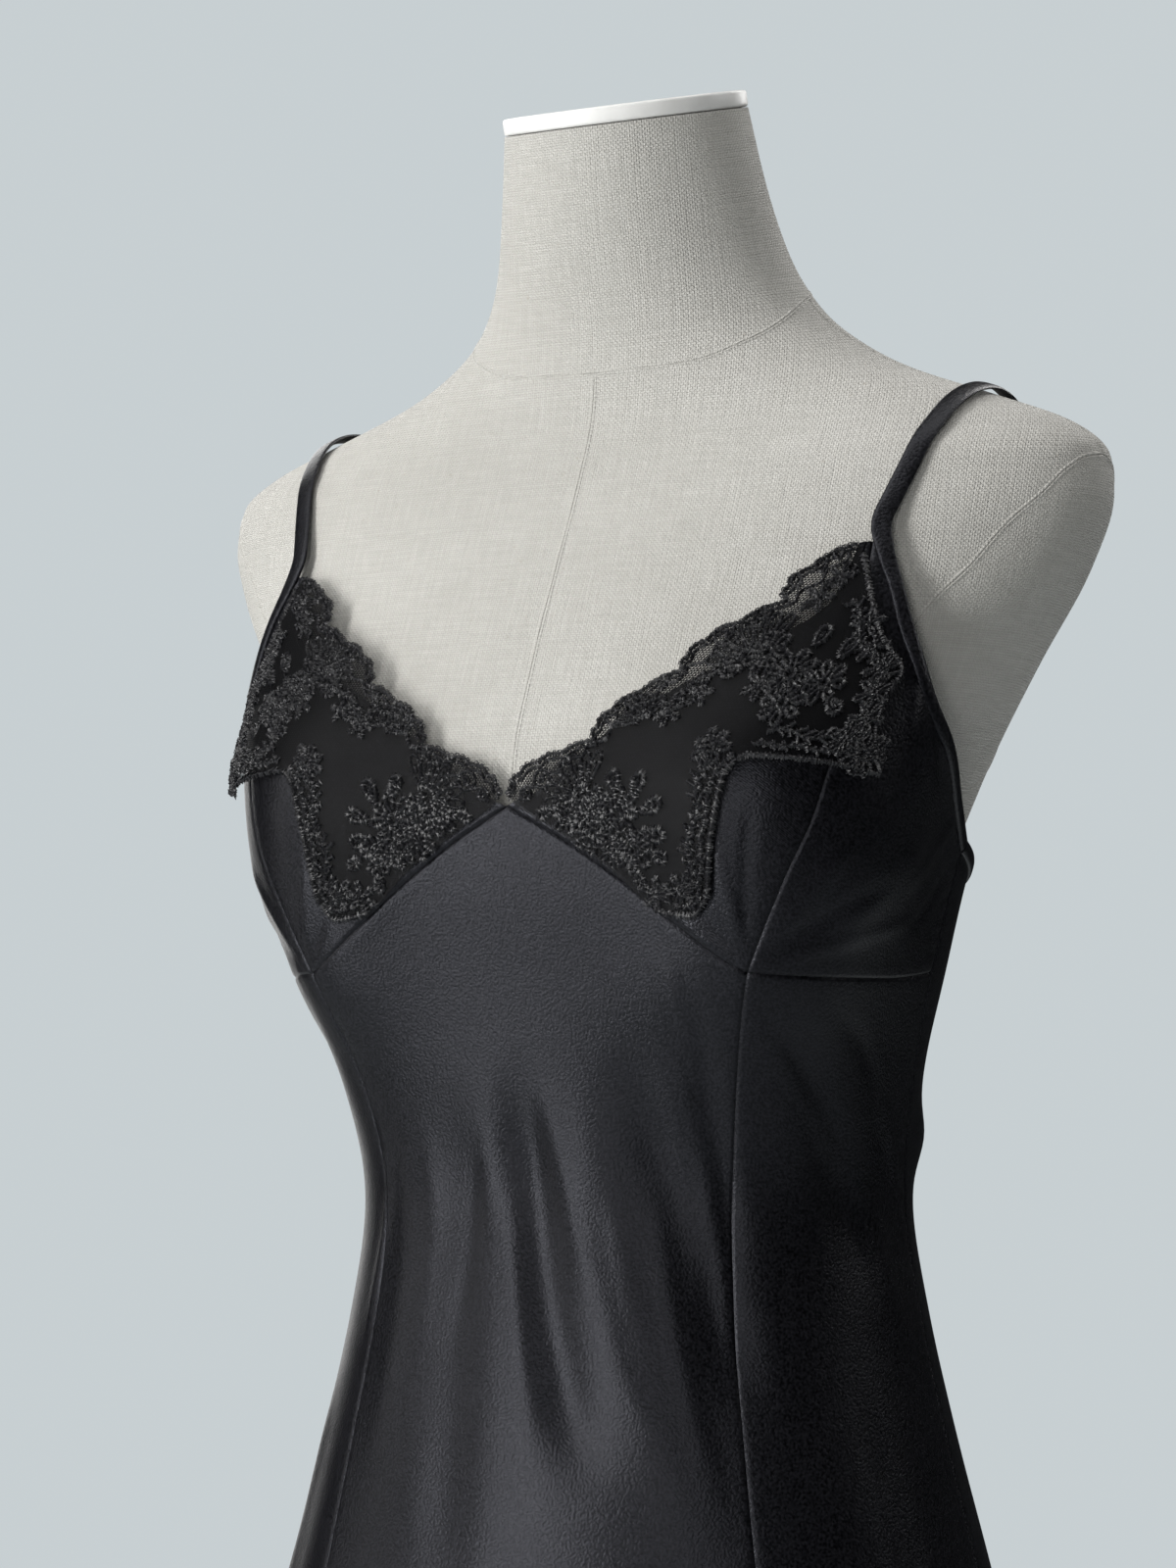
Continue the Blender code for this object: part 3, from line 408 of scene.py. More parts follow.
def shell(name, outer, inner, uv, material):
    # a closed thin shell between two grids of points
    rows, columns = outer.shape[:2]
    count = rows * columns
    faces = [gridFaces(rows, columns), gridFaces(rows, columns, count, flip=True), rimFaces(rows, columns)]
    points = np.concatenate([outer.reshape(-1, 3), inner.reshape(-1, 3)])
    flat = uv.reshape(-1, 2)
    return addMesh(name, points, faces, material, np.concatenate([flat, flat]))


def tube(route, across, away, section):
    # points and faces of a closed rod along a route, its section given as (across, away) offsets
    ring = [route + across * a + away * b for a, b in section]
    count = len(section)
    points = np.stack(ring, 1)
    rows = len(route)
    last = (rows - 1) * count
    ends = np.array([list(range(count))[::-1], list(range(last, last + count))])
    return points.reshape(-1, 3), [gridFaces(rows, count, around=True), ends]


def lengths(route):
    return np.concatenate([[0], np.cumsum(np.linalg.norm(np.diff(route, axis=0), axis=1))])


def unit(vectors):
    return vectors / np.maximum(np.linalg.norm(vectors, axis=-1, keepdims=True), 1e-12)


def roundedSection(width, thickness, count, square=2.6):
    turns = np.arange(count) * 2 * math.pi / count
    c, s = np.cos(turns), np.sin(turns)
    reach = (np.abs(c) ** square + np.abs(s) ** square) ** (-1 / square)
    return [(width / 2 * x, thickness / 2 * y) for x, y in zip(c * reach, s * reach)]


def joined(name, parts, material, uv=None, sharpAngle=60):
    # one mesh from several (points, faces) pairs
    points, faces, first = [], [], 0
    for some, blocks in parts:
        points.append(some)
        faces += [np.asarray(block) + first for block in blocks]
        first += len(some)
    return addMesh(name, np.concatenate(points), faces, material, uv, sharpAngle)


# ---- shader node groups


def newGroup(name, inputs, outputs):
    group = bpy.data.node_groups.new(name, "ShaderNodeTree")
    for label, value in inputs:
        socket = group.interface.new_socket(name=label, in_out="INPUT", socket_type="NodeSocketFloat")
        socket.default_value = value
    for label in outputs:
        group.interface.new_socket(name=label, in_out="OUTPUT", socket_type="NodeSocketFloat")
    entry = group.nodes.new("NodeGroupInput")
    leave = group.nodes.new("NodeGroupOutput")
    return group, entry, leave


def math2(tree, operation, a, b=None, c=None):
    node = tree.nodes.new("ShaderNodeMath")
    node.operation = operation
    for socket, value in zip(node.inputs, (a, b, c)):
        if value is None:
            continue
        if isinstance(value, (int, float)):
            socket.default_value = value
        else:
            tree.links.new(value, socket)
    return node.outputs[0]


def clothPlace(tree):
    # the place on the cloth in metres, split into across and along
    uvMap = tree.nodes.new("ShaderNodeUVMap")
    uvMap.uv_map = "cloth"
    split = tree.nodes.new("ShaderNodeSeparateXYZ")
    tree.links.new(uvMap.outputs["UV"], split.inputs[0])
    return split.outputs["X"], split.outputs["Y"]


def combined(tree, x, y, z=0.0):
    node = tree.nodes.new("ShaderNodeCombineXYZ")
    for socket, value in zip(node.inputs, (x, y, z)):
        if isinstance(value, (int, float)):
            socket.default_value = value
        else:
            tree.links.new(value, socket)
    return node.outputs[0]


def noise(tree, vector, scale, detail=2.0, roughness=0.5):
    node = tree.nodes.new("ShaderNodeTexNoise")
    node.inputs["Roughness"].default_value = roughness
    tree.links.new(vector, node.inputs["Vector"])
    for label, value in (("Scale", scale), ("Detail", detail)):
        if isinstance(value, (int, float)):
            node.inputs[label].default_value = value
        else:
            tree.links.new(value, node.inputs[label])
    return node.outputs["Fac"]


def spreadRange(tree, value, low, high, fromLow=0.3, fromHigh=0.7):
    node = tree.nodes.new("ShaderNodeMapRange")
    node.inputs["From Min"].default_value = fromLow
    node.inputs["From Max"].default_value = fromHigh
    for label, what in (("Value", value), ("To Min", low), ("To Max", high)):
        if isinstance(what, (int, float)):
            node.inputs[label].default_value = what
        else:
            tree.links.new(what, node.inputs[label])
    return node.outputs["Result"]


def makeWeaveGroup():
    # over and under threads of a plain weave; thread is the space from one thread to the next
    group, entry, leave = newGroup("threadWeave", (("Thread", 0.0008), ("Uneven", 0.3)), ("Height", "Gaps"))
    x, y = clothPlace(group)
    drift = noise(group, combined(group, x, y), 260.0, 3.0)
    drift = math2(group, "MULTIPLY", math2(group, "SUBTRACT", drift, 0.5), entry.outputs["Uneven"])
    u = math2(group, "ADD", math2(group, "DIVIDE", x, entry.outputs["Thread"]), drift)
    v = math2(group, "ADD", math2(group, "DIVIDE", y, entry.outputs["Thread"]), drift)
    overU = math2(group, "ABSOLUTE", math2(group, "SINE", math2(group, "MULTIPLY", u, math.pi)))
    overV = math2(group, "ABSOLUTE", math2(group, "SINE", math2(group, "MULTIPLY", v, math.pi)))
    cells = math2(group, "ADD", math2(group, "FLOOR", u), math2(group, "FLOOR", v))
    checker = math2(group, "FLOORED_MODULO", cells, 2.0)
    first = math2(group, "MULTIPLY", overU, checker)
    second = math2(group, "MULTIPLY", overV, math2(group, "SUBTRACT", 1.0, checker))
    height = math2(group, "ADD", first, second)
    group.links.new(height, leave.inputs["Height"])
    group.links.new(math2(group, "LESS_THAN", height, 0.35), leave.inputs["Gaps"])
    return group


def makeSlubGroup():
    # long uneven yarns both ways, as streaks from 0 to 1
    group, entry, leave = newGroup("slubYarns", (("Size", 0.0012), ("Stretch", 14.0)), ("Streaks", "Knots"))
    x, y = clothPlace(group)
    density = math2(group, "DIVIDE", 1.0, entry.outputs["Size"])
    thin = math2(group, "DIVIDE", density, entry.outputs["Stretch"])
    flat = combined(group, math2(group, "MULTIPLY", x, thin), math2(group, "MULTIPLY", y, density))
    steep = combined(group, math2(group, "MULTIPLY", x, density), math2(group, "MULTIPLY", y, thin), 5.0)
    weft, warp = noise(group, flat, 1.0), noise(group, steep, 1.0)
    group.links.new(math2(group, "MULTIPLY", math2(group, "ADD", weft, warp), 0.5), leave.inputs["Streaks"])
    knots = noise(group, combined(group, x, y, 2.0), 420.0, 2.0)
    group.links.new(spreadRange(group, knots, 0.0, 1.0, 0.66, 0.78), leave.inputs["Knots"])
    return group


def makeMottleGroup():
    # a soft value between Low and High that changes over the surface
    inputs = (("Size", 0.02), ("Low", 0.0), ("High", 1.0), ("Detail", 4.0))
    group, entry, leave = newGroup("softMottle", inputs, ("Value",))
    place = group.nodes.new("ShaderNodeTexCoord")
    density = math2(group, "DIVIDE", 1.0, entry.outputs["Size"])
    cloud = noise(group, place.outputs["Object"], density, entry.outputs["Detail"], 0.6)
    value = spreadRange(group, cloud, entry.outputs["Low"], entry.outputs["High"])
    group.links.new(value, leave.inputs["Value"])
    return group


def makeTwillGroup():
    # fine slanting floats, as on satin and twill
    group, entry, leave = newGroup("slantingFloats", (("Pitch", 0.0006), ("Slant", 0.6)), ("Height",))
    x, y = clothPlace(group)
    shifted = math2(group, "ADD", math2(group, "MULTIPLY", x, entry.outputs["Slant"]), y)
    turns = math2(group, "DIVIDE", shifted, entry.outputs["Pitch"])
    wave = math2(group, "SINE", math2(group, "MULTIPLY", turns, 2 * math.pi))
    broken = noise(group, combined(group, x, y, 3.0), 900.0, 2.0)
    group.links.new(math2(group, "MULTIPLY", math2(group, "ADD", wave, 1.0), broken), leave.inputs["Height"])
    return group


def makeNetGroup():
    # the threads of a fine net: 1 on a thread, 0 in a hole
    group, entry, leave = newGroup("fineNet", (("Mesh", 0.0009), ("Thread", 0.2)), ("Threads",))
    x, y = clothPlace(group)
    masks = []
    for turn in (30, 90, 150):
        c, s = math.cos(math.radians(turn)), math.sin(math.radians(turn))
        over = math2(group, "ADD", math2(group, "MULTIPLY", x, c), math2(group, "MULTIPLY", y, s))
        cell = math2(group, "FRACT", math2(group, "DIVIDE", over, entry.outputs["Mesh"]))
        masks.append(math2(group, "LESS_THAN", cell, entry.outputs["Thread"]))
    both = math2(group, "MAXIMUM", math2(group, "MAXIMUM", masks[0], masks[1]), masks[2])
    group.links.new(both, leave.inputs["Threads"])
    return group


weaveGroup = makeWeaveGroup()
slubGroup = makeSlubGroup()
mottleGroup = makeMottleGroup()
floatGroup = makeTwillGroup()
netGroup = makeNetGroup()

# ---- materials


def newMaterial(name, roughness, **fixed):
    material = bpy.data.materials.new(name)
    material.use_nodes = True
    shader = material.node_tree.nodes["Principled BSDF"]
    shader.inputs["Roughness"].default_value = roughness
    for label, value in fixed.items():
        shader.inputs[label.replace("_", " ")].default_value = value
    return material, material.node_tree, shader


def useGroup(tree, group, **values):
    node = tree.nodes.new("ShaderNodeGroup")
    node.node_tree = group
    for label, value in values.items():
        node.inputs[label].default_value = value
    return node.outputs


def colourMix(tree, share, a, b):
    node = tree.nodes.new("ShaderNodeMix")
    node.data_type = "RGBA"
    if isinstance(share, (int, float)):
        node.inputs["Factor"].default_value = share
    else:
        tree.links.new(share, node.inputs["Factor"])
    for label, value in (("A", a), ("B", b)):
        socket = [s for s in node.inputs if s.name == label and s.type == "RGBA"][0]
        if isinstance(value, tuple):
            socket.default_value = (*value, 1)
        else:
            tree.links.new(value, socket)
    return [s for s in node.outputs if s.type == "RGBA"][0]


def bumpNormal(tree, shader, height, strength, distance):
    node = tree.nodes.new("ShaderNodeBump")
    node.inputs["Strength"].default_value = strength
    node.inputs["Distance"].default_value = distance
    tree.links.new(height, node.inputs["Height"])
    tree.links.new(node.outputs["Normal"], shader.inputs["Normal"])


satinLook = {
    "dark": (0.0004, 0.0004, 0.0006),
    "light": (0.0078, 0.0078, 0.0096),
    "roughLow": 0.29,
    "roughHigh": 0.33,
    "grainSize": 0.0011,
    "grainRough": 0.05,
    "floatBump": 0.3,
    "floatPitch": 0.0005,
}


def makeSatin():
    look = satinLook
    material, tree, shader = newMaterial(
        "blackSatin", 0.35, Specular_IOR_Level=0.19, Specular_Tint=(0.86, 0.88, 1.0, 1.0),
    )
    grain = useGroup(tree, mottleGroup, Size=look["grainSize"], Low=0.0, High=1.0, Detail=0.6)["Value"]
    cloud = useGroup(tree, mottleGroup, Size=0.035, Low=look["roughLow"], High=look["roughHigh"])["Value"]
    floats = useGroup(tree, floatGroup, Pitch=look["floatPitch"], Slant=0.55)["Height"]
    tree.links.new(colourMix(tree, grain, look["dark"], look["light"]), shader.inputs["Base Color"])
    rough = math2(tree, "ADD", cloud, math2(tree, "MULTIPLY", grain, look["grainRough"]))
    tree.links.new(rough, shader.inputs["Roughness"])
    height = math2(tree, "ADD", grain, math2(tree, "MULTIPLY", floats, look["floatBump"]))
    bumpNormal(tree, shader, height, 0.8, 0.00011)
    return material


linenLook = {
    "pale": (0.535, 0.528, 0.503),
    # deep: a darker linen tone for slub streaks and clouds, also used as painted shade in the weave's low
    # places
    "deep": (0.385, 0.376, 0.350),
    "fleck": (0.290, 0.250, 0.195),
    "thread": 0.00105,
    "roughness": 0.92,
}


def makeLinen():
    look = linenLook
    material, tree, shader = newMaterial(
        "linenCover", look["roughness"], Specular_IOR_Level=0.2, Sheen_Weight=0.12, Sheen_Roughness=0.6,
    )
    weave = useGroup(tree, weaveGroup, Thread=look["thread"], Uneven=0.5)
    slubs = useGroup(tree, slubGroup, Size=0.0013, Stretch=16.0)
    cloud = useGroup(tree, mottleGroup, Size=0.09, Low=0.0, High=0.35)["Value"]
    streak = spreadRange(tree, slubs["Streaks"], 0.0, 1.0, 0.36, 0.62)
    # painted shade: the deep colour is mixed in where the weave lies low, between and under the threads; slub
    # streaks and the cloud add random tone towards the same colour
    weaveShade = math2(tree, "MULTIPLY", math2(tree, "SUBTRACT", 1.0, weave["Height"]), 0.85)
    share = math2(tree, "ADD", math2(tree, "MULTIPLY", streak, 0.42), math2(tree, "ADD", weaveShade, cloud))
    colour = colourMix(tree, share, look["pale"], look["deep"])
    colour = colourMix(tree, math2(tree, "MULTIPLY", slubs["Knots"], 0.35), colour, look["fleck"])
    tree.links.new(colour, shader.inputs["Base Color"])
    height = math2(tree, "ADD", weave["Height"], math2(tree, "MULTIPLY", streak, 0.8))
    bumpNormal(tree, shader, height, 0.8, 0.00030)
    return material


netLook = {
    "mesh": 0.00095,
    "roughness": 0.55,
    "specular": 0.12,
    "colour": (0.0022, 0.0022, 0.0028),
    "openThread": 0.24,
    "closeThread": 0.46,
    "cloudSize": 0.004,
    "cloud": (0.75, 1.25),
}


def makeNet(name, thread):
    look = netLook
    material, tree, shader = newMaterial(name, look["roughness"], Specular_IOR_Level=look["specular"])
    threads = useGroup(tree, netGroup, Mesh=look["mesh"], Thread=thread)["Threads"]
    low, high = look["cloud"]
    cloud = useGroup(tree, mottleGroup, Size=look["cloudSize"], Low=low, High=high)["Value"]
    tree.links.new(colourMix(tree, cloud, (0.0, 0.0, 0.0), look["colour"]), shader.inputs["Base Color"])
    tree.links.new(threads, shader.inputs["Alpha"])
    return material


# embroidery thread: the dark colour is the thread's own black; the light colour is painted glints, mixed into
# random patches of stitches as if they caught the light
embroideryLook = {
    "dark": (0.0008, 0.0008, 0.0010),
    "light": (0.020, 0.020, 0.024),
    "roughness": 0.30,
    "size": 0.0011,
}
sewingLook = {
    "dark": (0.009, 0.009, 0.010),
    "light": (0.016, 0.016, 0.018),
    "roughness": 0.5,
    "size": 0.002,
}
threadSpecular = 0.42
threadRoughening = 0.15


def makeThread(name, look):
    material, tree, shader = newMaterial(name, look["roughness"], Specular_IOR_Level=threadSpecular)
    # random patches go from the dark towards the light colour: on the embroidery these are painted glints, on
    # the sewing thread a slight random tone
    cloud = useGroup(tree, mottleGroup, Size=look["size"], Low=0.0, High=1.0)["Value"]
    tree.links.new(colourMix(tree, cloud, look["dark"], look["light"]), shader.inputs["Base Color"])
    rough = math2(tree, "ADD", math2(tree, "MULTIPLY", cloud, threadRoughening), look["roughness"])
    tree.links.new(rough, shader.inputs["Roughness"])
    return material


paintLook = {"dark": (0.66, 0.66, 0.645), "light": (0.72, 0.72, 0.71), "cloud": 0.012, "grain": 0.0012}


def makePaint():
    material, tree, shader = newMaterial("whitePaint", 0.42, Coat_Weight=0.15, Coat_Roughness=0.3)
    look = paintLook
    cloud = useGroup(tree, mottleGroup, Size=look["cloud"], Low=0.0, High=1.0)["Value"]
    fine = useGroup(tree, mottleGroup, Size=look["grain"], Low=0.0, High=1.0)["Value"]
    tree.links.new(colourMix(tree, cloud, look["dark"], look["light"]), shader.inputs["Base Color"])
    tree.links.new(math2(tree, "ADD", math2(tree, "MULTIPLY", cloud, 0.12), 0.38), shader.inputs["Roughness"])
    bumpNormal(tree, shader, fine, 0.25, 0.00008)
    return material


steelLook = {"dark": (0.44, 0.44, 0.45), "light": (0.54, 0.54, 0.55), "cloud": 0.05, "rough": (0.24, 0.42)}


def makeSteel():
    look = steelLook
    material, tree, shader = newMaterial("brushedSteel", 0.3, Metallic=1.0)
    place = tree.nodes.new("ShaderNodeTexCoord")
    split = tree.nodes.new("ShaderNodeSeparateXYZ")
    tree.links.new(place.outputs["Object"], split.inputs[0])
    turns = math2(tree, "MULTIPLY", split.outputs["Z"], 2600.0)
    radius = math2(tree, "MULTIPLY", math2(tree, "ADD", math2(tree, "POWER", split.outputs["X"], 2.0),
                                           math2(tree, "POWER", split.outputs["Y"], 2.0)), 9000.0)
    brushed = noise(tree, combined(tree, turns, radius), 1.0, 3.0)
    cloud = useGroup(tree, mottleGroup, Size=look["cloud"], Low=0.0, High=1.0)["Value"]
    tree.links.new(colourMix(tree, cloud, look["dark"], look["light"]), shader.inputs["Base Color"])
    tree.links.new(spreadRange(tree, brushed, *look["rough"]), shader.inputs["Roughness"])
    bumpNormal(tree, shader, brushed, 0.15, 0.00004)
    return material


floorLook = {"dark": (0.60, 0.64, 0.655), "light": (0.63, 0.67, 0.685), "cloud": 0.5, "roughness": 0.75}


def makeFloor():
    look = floorLook
    material, tree, shader = newMaterial("paleFloor", look["roughness"])
    cloud = useGroup(tree, mottleGroup, Size=look["cloud"], Low=0.0, High=1.0)["Value"]
    tree.links.new(colourMix(tree, cloud, look["dark"], look["light"]), shader.inputs["Base Color"])
    return material


satin = makeSatin()
linen = makeLinen()
netBlack = makeNet("laceNet", netLook["openThread"])
fillBlack = makeNet("laceFilling", netLook["closeThread"])
embroideryBlack = makeThread("embroideryThread", embroideryLook)
sewingBlack = makeThread("sewingThread", sewingLook)
whitePaint = makePaint()
steel = makeSteel()
print("materials made")

# ---- the linen-covered form

form = {
    "columns": 208,
    "rowStep": 0.0032,
    "seamWidth": 0.0030,
    "seamHeight": 0.00034,
    "neckSeam": ((0, 1.3830), (22, 1.3845), (46, 1.3928), (92, 1.4076), (180, 1.4150)),
    "armSeam": (
        (88, 1.3325), (78.5, 1.3307), (70.8, 1.3245), (65, 1.3129), (61.5, 1.3030), (58.5, 1.2843),
        (55.2, 1.2682), (54, 1.2500), (57, 1.2270), (66, 1.2080), (80, 1.1980), (97, 1.1970),
        (111, 1.2080), (121, 1.2290), (124, 1.2520), (121, 1.2860), (113, 1.3120), (101, 1.3280),
        (88, 1.3325),
    ),
    "capThickness": 0.0075,
    "capBevel": 0.0013,
}


def formHeights():
    heights, columns = formRings
    travel = np.hypot(np.diff(heights), np.diff(columns[0]))
    length = np.concatenate([[0], np.cumsum(travel)])
    return np.interp(np.linspace(0, length[-1], int(length[-1] / form["rowStep"]) + 1), length, heights)


def makeBody():
    heights = formHeights()
    count = form["columns"]
    turns = np.arange(count + 1) * 360 / count - 180
    grid = formPoint(turns[None, :], heights[:, None])
    around = np.linalg.norm(np.diff(grid, axis=1), axis=-1)
    across = np.concatenate([np.zeros((len(heights), 1)), np.cumsum(around, 1)], 1)
    across = across - across[:, count // 2][:, None]  # measured from the centre front
    along = lengths(grid[:, count // 2])
    body = grid[:, :count].reshape(-1, 3)
    rows = len(heights)
    quads = gridFaces(rows, count, around=True)
    last = (rows - 1) * count
    mesh = bpy.data.meshes.new("linen_body")
    ends = [list(range(count - 1, -1, -1)), list(range(last, last + count))]
    mesh.from_pydata(body.tolist(), [], quads.tolist() + ends)
    layer = mesh.uv_layers.new(name="cloth")
    i = np.repeat(np.arange(rows - 1), count)
    j = np.tile(np.arange(count), rows - 1)
    corners = np.stack([(i, j), (i, j + 1), (i + 1, j + 1), (i + 1, j)]).transpose(2, 0, 1).reshape(-1, 2)
    places = np.stack([across[corners[:, 0], corners[:, 1]], along[corners[:, 0]]], -1)
    places = np.concatenate([places, body[ends[0]][:, :2], body[ends[1]][:, :2]])
    layer.data.foreach_set("uv", places.astype(np.float32).ravel())
    mesh.shade_smooth()
    mesh.set_sharp_from_angle(angle=math.radians(50))
    mesh.materials.append(linen)
    made = bpy.data.objects.new("linen_body", mesh)
    collection.objects.link(made)
    return made


def surfaceFrame(point, places, closed=False):
    route = point(places[:, 0], places[:, 1])
    away = normals(point, places[:, 0], places[:, 1])
    if closed:
        way = unit(np.roll(route, -1, 0) - np.roll(route, 1, 0))
    else:
        way = unit(np.gradient(route, axis=0))
    across = unit(np.cross(way, away))
    return route, across, away


def formSeam(places):
    # two small rolls of cover side by side, with the seam's valley between them
    width, height = form["seamWidth"], form["seamHeight"]
    route, across, away = surfaceFrame(formPoint, places)
    top = ((-1.0, -0.3), (-0.62, 0.55), (-0.34, 1.0), (-0.14, 0.55), (0, -1.1))
    top = top + tuple((-a, b) for a, b in top[-2::-1])
    section = [(a * width / 2, b * height) for a, b in top] + [(width / 3, -0.0012), (-width / 3, -0.0012)]
    return tube(route, across, away, section[::-1])


def makeFormSeams():
    seam = np.array(form["neckSeam"], float)
    turns = np.linspace(-180, 180, 240)
    paths = [np.stack([turns, monotone(seam[:, 0], seam[:, 1], np.abs(turns))], -1)]
    neckFront, neckSide, neckBack = seam[0, 1], seam[3, 1], seam[4, 1]
    bottom = formSections[1][0]
    paths.append(straight((0, neckFront), (0, bottom), np.linspace(0, 1, 220)))
    paths.append(straight((180, neckBack), (180, bottom), np.linspace(0, 1, 220)))
    for side in (1, -1):
        paths.append(through(form["armSeam"], np.linspace(0, 1, 200)) * (side, 1))
        paths.append(straight((92, neckSide), (88, 1.3325), np.linspace(0, 1, 60)) * (side, 1))
        paths.append(straight((93, 1.1970), (92, bottom), np.linspace(0, 1, 160)) * (side, 1))
    parts = [formSeam(path) for path in paths]
    uv = np.concatenate([np.stack([p[:, 0], p[:, 2]], -1) for p, _ in parts])
    return joined("linen_seams", parts, linen, uv)


def makeNeckCap():
    # a thin painted plate on the slanting top of the neck, with a rounded edge
    top = formSections[-1][0]
    turns = np.arange(form["columns"]) * 360 / form["columns"]
    ring = formPoint(turns, top)
    tilt = math.radians(formSections[-1][-1])
    up = np.array([0, -math.sin(tilt), math.cos(tilt)])
    centre = ring.mean(0)
    outward = unit(ring - centre)
    thick, bevel = form["capThickness"], form["capBevel"]
    profile = [(-bevel, 0.0003)]
    for t in (0.5, 1.05, 1.57):
        profile.append((-bevel + bevel * math.sin(t), 0.0003 + bevel - bevel * math.cos(t)))
    for t in (0, 0.5, 1.05, 1.57):
        profile.append((-bevel + bevel * math.cos(t), thick - bevel + bevel * math.sin(t)))
    profile += [(-0.012, thick + 0.0001), (-0.030, thick + 0.0002)]
    rings = np.stack([ring + outward * a + up * b for a, b in profile])
    faces = cappedFaces(len(profile), form["columns"])
    return addMesh("neck_cap", rings.reshape(-1, 3), faces, whitePaint)


stand = {
    "segments": 96,
    "baseRadius": 0.190,
    "baseThickness": 0.010,
    "bevel": 0.0022,
    "poleRadius": 0.015,
    "collarRadius": 0.028,
    "collarHeight": 0.045,
    "gap": 0.0003,
}


def turned(name, profile, material):
    count = stand["segments"]
    turns = np.arange(count) * 2 * math.pi / count
    c, s = np.cos(turns), np.sin(turns)
    rings = np.stack([np.stack([r * c, r * s, 0 * c + z], -1) for r, z in profile])
    return addMesh(name, rings.reshape(-1, 3), cappedFaces(len(profile), count), material, sharpAngle=35)


def rounding(radius, height, bevel):
    # the rounded upper edge of a turned piece
    return [(radius - bevel + bevel * math.cos(t), height - bevel + bevel * math.sin(t))
            for t in np.linspace(0, math.pi / 2, 6)]


def makeStand():
    s = stand
    top = s["baseThickness"]
    base = [(s["baseRadius"] - 0.001, 0), (s["baseRadius"], 0.001)]
    base += rounding(s["baseRadius"], top, s["bevel"]) + [(s["baseRadius"] * 0.6, top), (0.02, top)]
    pieces = [(turned("round_base", base, steel), "stand_base")]
    foot = top + s["gap"]
    collar = [(s["collarRadius"] - 0.001, foot), (s["collarRadius"], foot + 0.001)]
    collar += rounding(s["collarRadius"], foot + s["collarHeight"], s["bevel"])
    collar += [(s["poleRadius"] + s["gap"], foot + s["collarHeight"])]
    pieces.append((turned("pole_collar", collar, steel), "stand_collar"))
    head = formSections[0][0] - s["gap"]
    pole = [(s["poleRadius"], z) for z in (foot + s["collarHeight"] - 0.002, 0.4, head)]
    pieces.append((turned("steel_pole", pole, steel), "stand_pole"))
    return pieces


body = makeBody()
formSeams = makeFormSeams()
neckCap = makeNeckCap()
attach(body, "root")
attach(formSeams, "root")
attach(neckCap, "root")
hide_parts("form_body")
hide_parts("form_neck_cap")
for piece, node in makeStand():
    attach(piece, "root")
    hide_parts(node)
print("form and stand made")

# ---- the satin panels

panel = {
    "step": 0.0030,  # size of the mesh away from the seams
    "thickness": 0.0006,
    "valley": 0.0006,  # how deep the cloth dips into a seam
    "valleyWidth": 0.0007,
    "allowance": 0.00010,  # how far the seam's turnings lift the cloth beside it
    "allowanceAt": 0.0042,
    "allowanceWidth": 0.0026,
    "pucker": 0.00016,
    "puckerPitch": 0.0085,
    "puckerReach": 0.006,
    "hemLine": 0.014,
    "neckBand": 0.0032,  # width of the turned edge along the neck of a cup
}


def puckers(length, seed):
    # uneven small ripples along a seam
    turn = np.random.default_rng(seed).uniform(0, 2 * math.pi, 3)
    pitch = panel["puckerPitch"]
    ripple = np.sin(2 * math.pi * length / pitch + turn[0] + 1.6 * np.sin(length / (2.3 * pitch) + turn[1]))
    return ripple * (0.55 + 0.45 * np.sin(length / (3.1 * pitch) + turn[2]))


def seamRelief(distance, along, seed):
    dip = -panel["valley"] * bump(distance, panel["valleyWidth"])
    lift = panel["allowance"] * bump(distance - panel["allowanceAt"], panel["allowanceWidth"])
    ripple = panel["pucker"] * puckers(along, seed) * np.exp(-distance / panel["puckerReach"])
    return dip + lift + ripple * softStep(distance / 0.0015)


def edgeDistances(grid):
    # how far each point is from the four edges, and how far along them
    across = np.linalg.norm(np.diff(grid, axis=1), axis=-1)
    across = np.concatenate([np.zeros((grid.shape[0], 1)), np.cumsum(across, 1)], 1)
    along = np.linalg.norm(np.diff(grid, axis=0), axis=-1)
    along = np.concatenate([np.zeros((1, grid.shape[1])), np.cumsum(along, 0)], 0)
    return across, across[:, -1:] - across, along, along[-1:] - along


def satinPanel(name, grid, sewn, seed, hemmed=False, edged=""):
    # sewn names the edges that meet another piece, l, r, b and t; edged is the one with a turned band
    angle, height = grid[..., 0], grid[..., 1]
    outer = dressPoint(angle, height)
    normal = normals(dressPoint, angle, height)
    left, right, bottom, top = edgeDistances(outer)
    relief = 0 * height
    if "l" in sewn:
        relief = relief + seamRelief(left, bottom, seed)
    if "r" in sewn:
        relief = relief + seamRelief(right, bottom, seed)
    if "b" in sewn:
        relief = relief + seamRelief(bottom, left, seed + 1)
    if "t" in sewn:
        relief = relief + seamRelief(top, left, seed + 2)
    if hemmed:
        relief = relief + 0.0003 * softStep(1 - bottom / panel["hemLine"])
        relief = relief - 0.0003 * bump(bottom - panel["hemLine"], 0.0010)
    if edged:
        band = left if edged == "l" else right
        relief = relief + 0.0004 * softStep((panel["neckBand"] - band) / 0.0006)
        relief = relief + 0.00012 * puckers(bottom, seed + 5) * bump(band - panel["neckBand"], 0.0012)
    outer = outer + normal * relief[..., None]
    uv = np.stack([left - left[:, -1:].mean() / 2, height], -1)
    return shell(name, outer, outer - normal * panel["thickness"], uv, satin)


